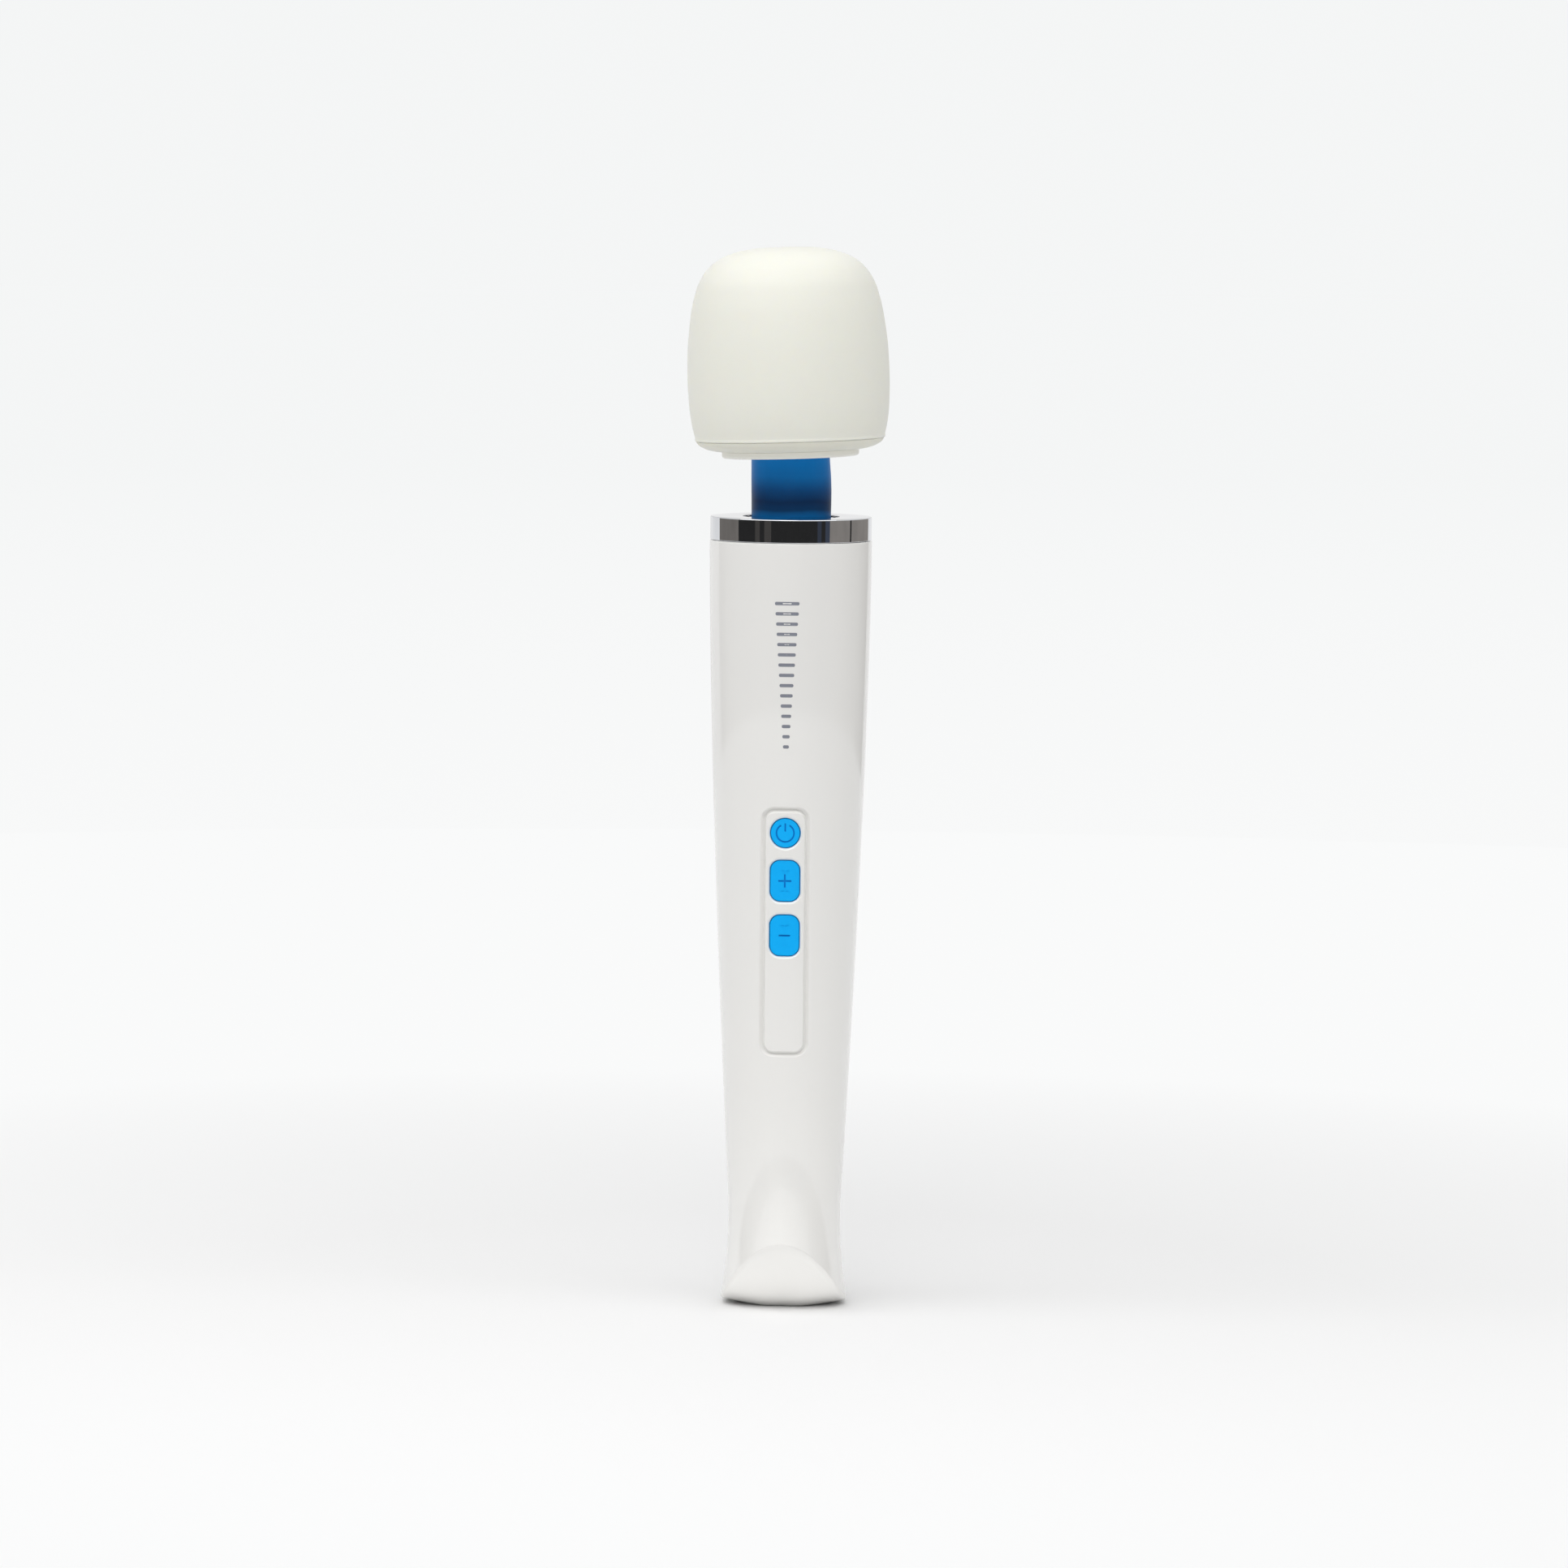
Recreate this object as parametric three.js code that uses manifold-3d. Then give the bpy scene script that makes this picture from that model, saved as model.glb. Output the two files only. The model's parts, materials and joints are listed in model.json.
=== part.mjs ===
// Handheld wand massager: a tapered two-shell handle that flares into a toe at its foot, a flexible neck,
// and a cushioned head that a long coil spring shakes by spinning an off-centre weight.
// Millimetres, +Z up. The origin is on the flat of the foot, on the handle's axis. The front, with the
// three buttons, faces -Y.
import * as THREE from "three";
import { mergeVertices } from "three/addons/utils/BufferGeometryUtils.js";
import Module from "manifold-3d";

const wasm = await Module();
wasm.setup();

// ---------- driving dimensions ----------
const GAP = 0.3; // clearance between neighbouring pieces
const ROUND = 24; // sides of a large round piece
const SMALL_ROUND = 12; // sides of a small round piece

// Handle
const HANDLE_TOP = 235;
const TOP_RADIUS = 24.75;
const TAPER = 9.3; // how much thinner the handle would be at its foot without the flare
const EXTRA_DEPTH = 1.2; // the foot is this much deeper than wide
const WALL = 2.2;
const RIM_HALF_WIDTH = 20; // the flared edge round the foot
const RIM_FRONT_DEPTH = 26;
const RIM_BACK_DEPTH = 19.5;
const RIM_SIDE_RISE = 1.8; // height of that edge at its sides and back
const RIM_TOE_RISE = 20; // and at the toe
const FLARE_RISE = 31; // the flare starts this far above the edge
const PARTING = 0.15; // half the gap between the two shells

// Foot cap and power inlet
const CAP_EDGE = 0.7;
const CAP_PLATE = 2.6;
const INLET_Y = 9;
const INLET_MOUTH_RADIUS = 5.6;
const INLET_SOCKET_LOW = CAP_PLATE + GAP;

// Control panel and buttons, all on the front's centre line
const PANEL = { width: 13.9, height: 75, corner: 3.6, z: 116.6 };
const GROOVE = { width: 1.3, depth: 0.5 };
const BUTTONS = [
  { name: "power_button", width: 9.2, height: 9.2, corner: 4.6, z: 147.3 },
  { name: "plus_button", width: 9.2, height: 12.8, corner: 3.2, z: 132.7 },
  { name: "minus_button", width: 9.2, height: 12.8, corner: 3.2, z: 116 },
];
const BUTTON_RECESS = 0.35;
const FLANGE_FRONT = -18.2; // the buttons' flanges, behind the front wall
const FLANGE_BACK = -17.2;
const STEM_END = -14.9;
const BOARD = { front: -12.3, back: -10.7, halfWidth: 7.5, low: 76, high: 159.5 };

// Drive
const MOTOR_RADIUS = 15.5;
const MOTOR_LOW = 174.5;
const MOTOR_HIGH = 216.7;
const SHAFT_RADIUS = 1.6;

// Neck and head
const NECK_RADIUS = 12.1;
const NECK_BORE = 8.6;
const NECK_PIVOT = 250; // the neck leans about this height
const HEAD_LEAN = THREE.MathUtils.degToRad(-2); // the elastomer neck holds the head this far off the axis
const HEAD_TOP = 324;

const SHELL_SCREWS = [
  { name: "upper_left", x: -9.5, z: 164, wall: 20 },
  { name: "upper_right", x: 9.5, z: 164, wall: 20 },
  { name: "lower_left", x: -8.5, z: 62, wall: 16.2 },
  { name: "lower_right", x: 8.5, z: 62, wall: 16.2 },
];
const BOARD_SCREWS = [
  { name: "board_screw_upper", z: 155.5 },
  { name: "board_screw_lower", z: 84 },
];
const MOUNT_SCREWS = [
  { name: "mount_screw_left", x: -9 },
  { name: "mount_screw_right", x: 9 },
];

// ---------- materials ----------
const plain = (color, roughness, metalness = 0) => new THREE.MeshStandardMaterial({ color, roughness, metalness });
const shellPlastic = plain(0xe6e4e1, 0.22);
const cushionSilicone = plain(0xe4e4d8, 0.6);
const baseSilicone = plain(0xdddccd, 0.6);
const collarPlastic = plain(0xe2dfda, 0.35);
const neckElastomer = plain(0x0a5a9c, 0.42);
const chromePlate = plain(0xd5d7da, 0.06, 1);
const buttonRubber = plain(0x0aa5f0, 0.5);
const webRubber = plain(0x1383c4, 0.6);
const corePlastic = plain(0x3c3f43, 0.5);
const boardLaminate = plain(0x1d6a3c, 0.5);
const switchPlastic = plain(0x1e1e20, 0.45);
const steel = plain(0xb4b7ba, 0.3, 1);
const springSteel = plain(0x8f9296, 0.3, 1);
const brass = plain(0xc9a24a, 0.3, 1);
const copper = plain(0xb87048, 0.35, 1);
const magnetFerrite = plain(0x4a4a4d, 0.7);
const bushBronze = plain(0xa8773c, 0.4, 1);
const damperRubber = plain(0x26272a, 0.8);
const redSheath = plain(0xb3222a, 0.5);
const blackSheath = plain(0x1b1b1d, 0.5);

// ---------- solids ----------
/** A closed three.js geometry as a manifold-3d solid. */
function solid(geometry) {
  const bare = geometry.index ? geometry.toNonIndexed() : geometry.clone();
  bare.deleteAttribute("normal");
  bare.deleteAttribute("uv");
  const merged = mergeVertices(bare, 1e-4);
  const mesh = new wasm.Mesh({
    numProp: 3,
    vertProperties: merged.attributes.position.array,
    triVerts: new Uint32Array(merged.index.array),
  });
  return new wasm.Manifold(mesh);
}

/** A manifold-3d solid as a three.js geometry. */
function geometryOf(body) {
  const mesh = body.getMesh();
  const geometry = new THREE.BufferGeometry();
  geometry.setAttribute("position", new THREE.BufferAttribute(mesh.vertProperties, 3));
  geometry.setIndex(new THREE.BufferAttribute(mesh.triVerts, 1));
  geometry.computeVertexNormals();
  return geometry;
}

/** A solid turned about the Z axis from [radius, height] corners. It closes on itself or ends on the axis. */
function turned(corners, segments = SMALL_ROUND) {
  const points = corners.map(([r, z]) => new THREE.Vector2(r, z));
  if (THREE.ShapeUtils.area(points) < 0) points.reverse();
  const onAxis = points.findIndex((p) => p.x === 0);
  if (onAxis < 0) {
    points.push(points[0].clone());
  } else {
    // start at the axis point that follows the other one
    const start = points.findIndex((p, i) => p.x === 0 && points[(i + 1) % points.length].x > 0);
    points.push(...points.splice(0, start));
  }
  return new THREE.LatheGeometry(points, segments).rotateX(Math.PI / 2);
}

const tube = (inner, outer, low, high, segments) =>
  turned([[inner, low], [outer, low], [outer, high], [inner, high]], segments);
const rod = (radius, low, high, segments) => turned([[0, low], [radius, low], [radius, high], [0, high]], segments);

/** A shape drawn in X and Z, as a solid from one Y to another. */
function prism(shape, fromY, toY, curveSegments = 4) {
  const geometry = new THREE.ExtrudeGeometry(shape, { depth: toY - fromY, bevelEnabled: false, curveSegments });
  return geometry.rotateX(Math.PI / 2).translate(0, toY, 0);
}

/** A round pin along Y. */
function pin(radius, x, z, fromY, toY, sides = SMALL_ROUND) {
  const geometry = new THREE.CylinderGeometry(radius, radius, toY - fromY, sides);
  return geometry.translate(x, (fromY + toY) / 2, z);
}

function block(x, y, z) {
  const geometry = new THREE.BoxGeometry(x[1] - x[0], y[1] - y[0], z[1] - z[0]);
  return geometry.translate((x[0] + x[1]) / 2, (y[0] + y[1]) / 2, (z[0] + z[1]) / 2);
}

function roundedRectangle(width, height, corner, z, grow = 0) {
  const w = width / 2 + grow;
  const h = height / 2 + grow;
  const r = Math.min(corner + grow, w - 0.001, h - 0.001);
  const shape = new THREE.Shape();
  shape.absarc(w - r, z + h - r, r, 0, Math.PI / 2);
  shape.absarc(r - w, z + h - r, r, Math.PI / 2, Math.PI);
  shape.absarc(r - w, z - h + r, r, Math.PI, 1.5 * Math.PI);
  shape.absarc(w - r, z - h + r, r, 1.5 * Math.PI, 2 * Math.PI);
  shape.closePath();
  return shape;
}

/** A closed solid over rings of equal point counts, with a fan over the first and the last. */
function loft(rings) {
  const count = rings[0].length;
  const middle = (ring) => ring.reduce((sum, p) => sum.add(p), new THREE.Vector3()).divideScalar(count);
  const points = [...rings.flat(), middle(rings[0]), middle(rings.at(-1))];
  const [first, last] = [points.length - 2, points.length - 1];
  const top = (rings.length - 1) * count;
  const index = [];
  for (let i = 0; i < count; i++) {
    const next = (i + 1) % count;
    for (let low = 0; low < top; low += count) {
      index.push(low + i, low + count + i, low + next);
      index.push(low + next, low + count + i, low + count + next);
    }
    index.push(first, i, next);
    index.push(last, top + next, top + i);
  }
  const geometry = new THREE.BufferGeometry().setFromPoints(points);
  geometry.setIndex(index);
  return geometry;
}

/** One ring of points; place(angle) gives each. The angle is 0 at +X and a quarter turn at the front. */
const ring = (place) => Array.from({ length: ROUND }, (_, i) => place((i / ROUND) * 2 * Math.PI));

// ---------- the handle's surface ----------
const halfWidth = (z) => TOP_RADIUS - TAPER * ((HANDLE_TOP - z) / HANDLE_TOP) ** 1.5;
const halfDepth = (z) => halfWidth(z) + EXTRA_DEPTH * (1 - z / HANDLE_TOP);
const frontness = (angle) => Math.max(0, Math.sin(angle));
const backness = (angle) => Math.max(0, -Math.sin(angle));
const rimRise = (angle) => RIM_SIDE_RISE + (RIM_TOE_RISE - RIM_SIDE_RISE) * frontness(angle) ** 2.4;
const rimDepth = (angle) => (Math.sin(angle) > 0 ? RIM_FRONT_DEPTH : RIM_BACK_DEPTH);

/** A point on the handle's side at an angle and height, moved in by inset. */
function handlePoint(angle, z, inset = 0) {
  const rim = rimRise(angle);
  const height = Math.max(Math.min(z, HANDLE_TOP), rim);
  const reach = FLARE_RISE + 4 * frontness(angle);
  const flare = THREE.MathUtils.clamp((rim + reach - height) / reach, 0, 1) ** (1.75 + 0.25 * frontness(angle));
  const width = halfWidth(height) + (RIM_HALF_WIDTH - halfWidth(rim)) * flare - inset;
  const depth = halfDepth(height) + (rimDepth(angle) - halfDepth(rim)) * flare - inset;
  return new THREE.Vector3(width * Math.cos(angle), -depth * Math.sin(angle), z);
}

/** A point on the foot's underside: share is 0 at the middle and 1 at the flared edge. */
function solePoint(angle, share) {
  const flat = 0.62 - 0.2 * frontness(angle) + 0.15 * backness(angle);
  const rise = (Math.max(0, share - flat) / (1 - flat)) ** 1.3;
  return new THREE.Vector3(
    share * RIM_HALF_WIDTH * Math.cos(angle),
    -share * rimDepth(angle) * Math.sin(angle),
    rise * rimRise(angle),
  );
}

const SOLE_SHARES = [0.42, 0.62, 0.77, 0.9];
const SIDE_SHARES = [0, 0.02, 0.05, 0.09, 0.14, 0.22, 0.36, 0.56, 0.78, 1];

/** The handle's whole outer form, foot included. */
function handleForm() {
  const sole = SOLE_SHARES.map((share) => ring((angle) => solePoint(angle, share)));
  const side = SIDE_SHARES.map((share) =>
    ring((angle) => handlePoint(angle, THREE.MathUtils.lerp(rimRise(angle), HANDLE_TOP, share))),
  );
  return solid(loft([...sole, ...side]));
}

/** The handle's form between two heights, moved in by inset. */
function insetForm(inset, low, high, steps) {
  const heights = Array.from({ length: steps + 1 }, (_, i) => THREE.MathUtils.lerp(low, high, i / steps));
  return solid(loft(heights.map((z) => ring((angle) => handlePoint(angle, z, inset)))));
}

/** Everything under the seam between the shells and the foot cap. */
function underSeam(lift) {
  const seam = (angle, share) => {
    const point = solePoint(angle, Math.min(share, 1));
    point.x *= Math.max(share, 1);
    point.y *= Math.max(share, 1);
    point.z += CAP_EDGE + (CAP_PLATE - CAP_EDGE) * THREE.MathUtils.clamp((1 - share) / 0.12, 0, 1) + lift;
    return point;
  };
  const shares = [0.42, 0.62, 0.77, 0.88, 1, 1.3];
  const floor = ring((angle) => seam(angle, 1.3).setZ(-10));
  return solid(loft([floor, ...shares.map((share) => ring((angle) => seam(angle, share))).reverse()]));
}

// ---------- assembly ----------
const wand = new THREE.Group();
const head = new THREE.Group();
head.position.z = NECK_PIVOT;
head.rotation.y = HEAD_LEAN;
wand.add(head);

function add(name, geometry, material, parent = wand) {
  const mesh = new THREE.Mesh(geometry, material);
  mesh.name = name;
  if (parent === head) mesh.position.z = -NECK_PIVOT;
  parent.add(mesh);
}

// Handle shells
const form = handleForm();
let shells = form.subtract(insetForm(WALL, -4, HANDLE_TOP + 2, 9));
const shelf = solid(tube(19, 24, 214.5, 216.5, ROUND));
shells = shells.add(shelf.intersect(form)).subtract(underSeam(GAP));

function shellHalf(front) {
  const reach = 60;
  const y = front ? [-reach, -PARTING] : [PARTING, reach];
  return shells.intersect(solid(block([-reach, reach], y, [-reach, 300])));
}

function buttonHole({ width, height, corner, z }) {
  return solid(prism(roundedRectangle(width, height, corner, z), -40, -10));
}

function panelGroove() {
  const { width, height, corner, z } = PANEL;
  const outline = roundedRectangle(width, height, corner, z, GROOVE.width / 2);
  const inner = roundedRectangle(width, height, corner, z, -GROOVE.width / 2);
  outline.holes.push(new THREE.Path(inner.getPoints(4).reverse()));
  return solid(prism(outline, -40, -10)).subtract(insetForm(GROOVE.depth, 60, 175, 4));
}

function frontShell() {
  let shell = shellHalf(true);
  for (const { x, z, wall } of SHELL_SCREWS) {
    shell = shell.add(solid(pin(3.3, x, z, -wall, -PARTING)).intersect(form));
    shell = shell.subtract(solid(pin(1.4, x, z, -10, 1, 10)));
  }
  for (const { z } of BOARD_SCREWS) {
    const post = solid(pin(2.2, 0, z, -22.5, BOARD.front - 0.2)).intersect(form);
    shell = shell.add(post).subtract(solid(pin(1.1, 0, z, -17.5, -10, 10)));
  }
  for (const button of BUTTONS) shell = shell.subtract(buttonHole(button));
  return shell.subtract(panelGroove());
}

function rearShell() {
  let shell = shellHalf(false);
  for (const { x, z, wall } of SHELL_SCREWS) {
    shell = shell.add(solid(pin(3.5, x, z, PARTING, wall)).intersect(form));
    shell = shell.subtract(solid(pin(1.4, x, z, -1, 10, 10)));
    shell = shell.subtract(solid(pin(2.7, x, z, 6, 40)));
  }
  return shell;
}

add("front_shell", geometryOf(frontShell()), shellPlastic);
add("rear_shell", geometryOf(rearShell()), shellPlastic);

for (const { name, x, z } of SHELL_SCREWS) {
  const screw = solid(pin(2.3, x, z, 6.2, 8.2, 12)).add(solid(pin(1.1, x, z, -9, 7, 10)));
  add(`shell_screw_${name}`, geometryOf(screw), steel);
  const plug = solid(pin(2.4, x, z, 12, 40)).intersect(insetForm(GAP, z - 10, z + 10, 1));
  add(`screw_plug_${name}`, geometryOf(plug), collarPlastic);
}

// Foot cap and power inlet
function footCap() {
  const mouth = rod(INLET_MOUTH_RADIUS, -5, 20, SMALL_ROUND).translate(0, INLET_Y, 0);
  return form.intersect(underSeam(0)).subtract(solid(mouth));
}

add("foot_cap", geometryOf(footCap()), shellPlastic);

function inletSocket() {
  const low = INLET_SOCKET_LOW;
  const body = solid(block([-5.8, 5.8], [INLET_Y - 5.5, INLET_Y + 5.5], [low, low + 13]));
  return body.subtract(solid(rod(3.3, low - 5, low + 10, SMALL_ROUND).translate(0, INLET_Y, 0)));
}

add("inlet_socket", geometryOf(inletSocket()), switchPlastic);
add("inlet_pin", rod(1.05, INLET_SOCKET_LOW + 0.8, INLET_SOCKET_LOW + 9.7, 12).translate(0, INLET_Y, 0), brass);

// Top trim ring
const ringProfile = [
  [14.8, 241.9], [15.1, 242.2], [23.8, 242.2], [24.4, 241.95], [24.6, 241.4], [24.6, 235.3], [21.9, 235.3],
  [21.9, 227.6], [19.6, 227.6], [19.6, 236.6], [14.8, 236.6],
];
add("trim_ring", turned(ringProfile, ROUND), chromePlate);

// Buttons, keypad web, board and switches
function button({ width, height, corner, z }) {
  const cap = solid(prism(roundedRectangle(width, height, corner, z, -GAP), -40, FLANGE_FRONT + 0.2));
  const face = cap.intersect(insetForm(BUTTON_RECESS, z - 10, z + 10, 2));
  const flange = solid(prism(roundedRectangle(width, height, corner, z, 0.8), FLANGE_FRONT, FLANGE_BACK, 3));
  const stem = solid(pin(1.6, 0, z, FLANGE_BACK - 0.2, STEM_END, 12));
  return face.add(flange).add(stem);
}

for (const spec of BUTTONS) add(spec.name, geometryOf(button(spec)), buttonRubber);

function keypadWeb() {
  let web = solid(prism(roundedRectangle(13.2, 45, 3, 130), -16.1, -15.5));
  for (const { z } of BUTTONS) web = web.subtract(solid(pin(2, 0, z, -17, -15, 12)));
  return web;
}

add("keypad_web", geometryOf(keypadWeb()), webRubber);

function controlBoard() {
  const { front, back, halfWidth: half, low, high } = BOARD;
  let board = solid(block([-half, half], [front, back], [low, high]));
  for (const { z } of BOARD_SCREWS) board = board.subtract(solid(pin(1.1, 0, z, front - 1, back + 1, 10)));
  return board;
}

add("control_board", geometryOf(controlBoard()), boardLaminate);

for (const { name, z } of BUTTONS) {
  const body = solid(block([-3, 3], [-13.3, BOARD.front - 0.1], [z - 3, z + 3]));
  const plunger = solid(pin(1.3, 0, z, -14.2, -13, 10));
  add(name.replace("button", "switch"), geometryOf(body.add(plunger)), switchPlastic);
}

for (const { name, z } of BOARD_SCREWS) {
  const screw = solid(pin(1.9, 0, z, BOARD.back + 0.1, BOARD.back + 1.4, 12));
  add(name, geometryOf(screw.add(solid(pin(0.8, 0, z, -16.8, BOARD.back + 0.5, 10)))), steel);
}

// Motor: can, magnets, end cap, brushes and bushes stay with the handle; the rotor spins
function motorCan() {
  const can = solid(
    turned([
      [MOTOR_RADIUS, MOTOR_LOW], [MOTOR_RADIUS, MOTOR_HIGH], [4.8, MOTOR_HIGH], [4.8, MOTOR_HIGH + 2.2],
      [3.9, MOTOR_HIGH + 2.2], [3.9, MOTOR_HIGH - 1.2], [MOTOR_RADIUS - 1.2, MOTOR_HIGH - 1.2],
      [MOTOR_RADIUS - 1.2, MOTOR_LOW],
    ], ROUND),
  );
  return MOUNT_SCREWS.reduce((left, { x }) => left.subtract(solid(rod(1.4, 200, 230, 10).translate(x, 0, 0))), can);
}

/** A curved block between two radii, centred on an angle in degrees. */
function arcBlock(inner, outer, centre, spread, low, high, curveSegments = 10) {
  const [from, to] = [centre - spread / 2, centre + spread / 2].map(THREE.MathUtils.degToRad);
  const shape = new THREE.Shape();
  shape.absarc(0, 0, outer, from, to, false);
  shape.absarc(0, 0, inner, to, from, true);
  shape.closePath();
  const geometry = new THREE.ExtrudeGeometry(shape, { depth: high - low, bevelEnabled: false, curveSegments });
  return geometry.translate(0, 0, low);
}

add("motor_can", geometryOf(motorCan()), steel);
add("motor_magnet_left", arcBlock(11.3, 13.9, 180, 140, 181, 209), magnetFerrite);
add("motor_magnet_right", arcBlock(11.3, 13.9, 0, 140, 181, 209), magnetFerrite);
const endCapProfile = [
  [3.9, 169], [15.2, 169], [15.2, 171.8], [14, 174.2], [14, 176.5], [12.6, 176.5], [12.6, 173.2], [3.9, 173.2],
];
add("motor_end_cap", turned(endCapProfile, ROUND), corePlastic);
add("motor_bush_lower", tube(1.9, 3.6, 169.1, 173), bushBronze);
add("motor_bush_upper", tube(1.9, 3.6, 214.6, 218.7), bushBronze);
for (const [name, side] of [["motor_brush_left", -1], ["motor_brush_right", 1]]) {
  const x = [side * 4.6, side * 8.4].sort((a, b) => a - b);
  add(name, block(x, [-1.2, 1.2], [176.8, 180]), blackSheath);
}
add("motor_damper_lower", tube(15.8, 21.2, 179, 185, ROUND), damperRubber);
add("motor_damper_upper", tube(15.8, 21.2, 204, 210, ROUND), damperRubber);

function rotorCore() {
  const poles = 5;
  const shape = new THREE.Shape();
  for (let i = 0; i < poles; i++) {
    const middle = (i / poles) * 2 * Math.PI;
    const [slot, tip] = [0.2, 0.5];
    shape.absarc(0, 0, 10.6, middle - tip, middle + tip, false);
    shape.absarc(0, 0, 8.4, middle + tip, middle + slot, true);
    shape.lineTo(4.6 * Math.cos(middle + Math.PI / poles), 4.6 * Math.sin(middle + Math.PI / poles));
    shape.absarc(0, 0, 8.4, middle + (2 * Math.PI) / poles - slot, middle + (2 * Math.PI) / poles - tip, true);
  }
  shape.closePath();
  const stack = new THREE.ExtrudeGeometry(shape, { depth: 22, bevelEnabled: false, curveSegments: 3 });
  return solid(stack.translate(0, 0, 184)).subtract(solid(rod(1.9, 180, 210, 12)));
}

add("rotor_core", geometryOf(rotorCore()), copper);
add("rotor_shaft", rod(SHAFT_RADIUS, 168.5, 226, 12), steel);
add("commutator", tube(1.9, 4.3, 175.5, 182.5), copper);

function motorMount() {
  let mount = solid(tube(5.2, 21.6, 217, 220.1, ROUND));
  for (const { x } of MOUNT_SCREWS) {
    mount = mount.subtract(solid(rod(1.4, 210, 230, 10).translate(x, 0, 0)));
    mount = mount.subtract(solid(rod(2.5, 218.4, 230, 12).translate(x, 0, 0)));
  }
  return mount;
}

add("motor_mount", geometryOf(motorMount()), corePlastic);
for (const { name, x } of MOUNT_SCREWS) {
  const screw = turned([[0, 212], [1.1, 212], [1.1, 218.6], [2.2, 218.6], [2.2, 219.9], [0, 219.9]], 10);
  add(name, screw.translate(x, 0, 0), steel);
}

// Drive: coupling on the shaft, then a coil spring up through the neck
const couplingProfile = [[1.9, 222], [4.3, 222], [4.3, 230], [2, 230], [2, 236], [0, 236], [0, 227], [1.9, 227]];
add("drive_coupling", turned(couplingProfile), brass);

/** Leans a point above the handle as the neck does. */
function leaned(point) {
  const turn = HEAD_LEAN * THREE.MathUtils.smoothstep(point.z, 240, 260);
  const pivot = new THREE.Vector3(0, 0, NECK_PIVOT);
  return point.clone().sub(pivot).applyAxisAngle(new THREE.Vector3(0, 1, 0), turn).add(pivot);
}

class CoilCurve extends THREE.Curve {
  constructor(radius, low, high, turns) {
    super();
    Object.assign(this, { radius, low, high, turns });
  }
  getPoint(t) {
    const angle = 2 * Math.PI * this.turns * t;
    const z = THREE.MathUtils.lerp(this.low, this.high, t);
    return leaned(new THREE.Vector3(this.radius * Math.cos(angle), this.radius * Math.sin(angle), z));
  }
}

/** A round wire of few sides along a curve. */
function wire(curve, radius, sides, steps) {
  const section = new THREE.Shape();
  for (let i = 0; i < sides; i++) {
    const angle = (i / sides) * 2 * Math.PI;
    section[i ? "lineTo" : "moveTo"](radius * Math.cos(angle), radius * Math.sin(angle));
  }
  section.closePath();
  return new THREE.ExtrudeGeometry(section, { steps, extrudePath: curve, bevelEnabled: false });
}

const SPRING_TURNS = 9;
add("drive_spring", wire(new CoilCurve(3, 231, 266.4, SPRING_TURNS), 0.65, 5, SPRING_TURNS * 7), springSteel);

// Neck sleeve and the plate that clamps its foot
const sleeveProfile = [
  [NECK_BORE, 220.4], [19, 220.4], [19, 223.7], [11.7, 223.7], [11.75, 236], [NECK_RADIUS, 243], [NECK_RADIUS, 252],
  [11.9, 259], [11.9, 263], [16.2, 263], [16.2, 265.6], [NECK_BORE, 265.6], [NECK_BORE, 252], [NECK_BORE, 243],
];
const sleeve = turned(sleeveProfile, ROUND);
const sleevePoints = sleeve.attributes.position;
for (let i = 0; i < sleevePoints.count; i++) {
  const point = leaned(new THREE.Vector3().fromBufferAttribute(sleevePoints, i));
  sleevePoints.setXYZ(i, point.x, point.y, point.z);
}
add("neck_sleeve", sleeve, neckElastomer);
add("neck_clamp", tube(12.9, 21.6, 224, 227.3, ROUND), corePlastic);

// Head: everything here leans with it
const CORE_SCREWS = [30, 150, 270];

function coreScrewAt(geometry, degrees) {
  const angle = THREE.MathUtils.degToRad(degrees);
  return geometry.translate(17.9 * Math.cos(angle), 17.9 * Math.sin(angle), 0);
}

function drilled(geometry, radius, low, high) {
  const hole = (degrees) => solid(coreScrewAt(rod(radius, low, high, 10), degrees));
  return CORE_SCREWS.reduce((left, degrees) => left.subtract(hole(degrees)), geometry);
}

const collarProfile = [
  [12.7, 260.1], [20.2, 260.1], [20.9, 260.8], [20.9, 262], [19.1, 262], [19.1, 265.3], [16.5, 265.3],
  [16.5, 262.6], [12.7, 262.6],
];
const collar = drilled(drilled(solid(turned(collarProfile, ROUND)), 1.25, 250, 280), 2.1, 250, 261.7);
add("head_collar", geometryOf(collar), collarPlastic, head);
CORE_SCREWS.forEach((degrees, i) => {
  const screw = turned([[0, 260.4], [1.8, 260.4], [1.8, 261.5], [0.9, 261.5], [0.9, 268], [0, 268]], 8);
  add(`head_screw_${i + 1}`, coreScrewAt(screw, degrees), steel, head);
});

const baseRingProfile = [
  [19.4, 262.3], [21.6, 262.1], [25, 262.4], [27.2, 263.2], [28.5, 264.8], [26.2, 264.8], [26.2, 265.7],
  [19.4, 265.7],
];
add("head_base_ring", turned(baseRingProfile, ROUND), baseSilicone, head);

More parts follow.
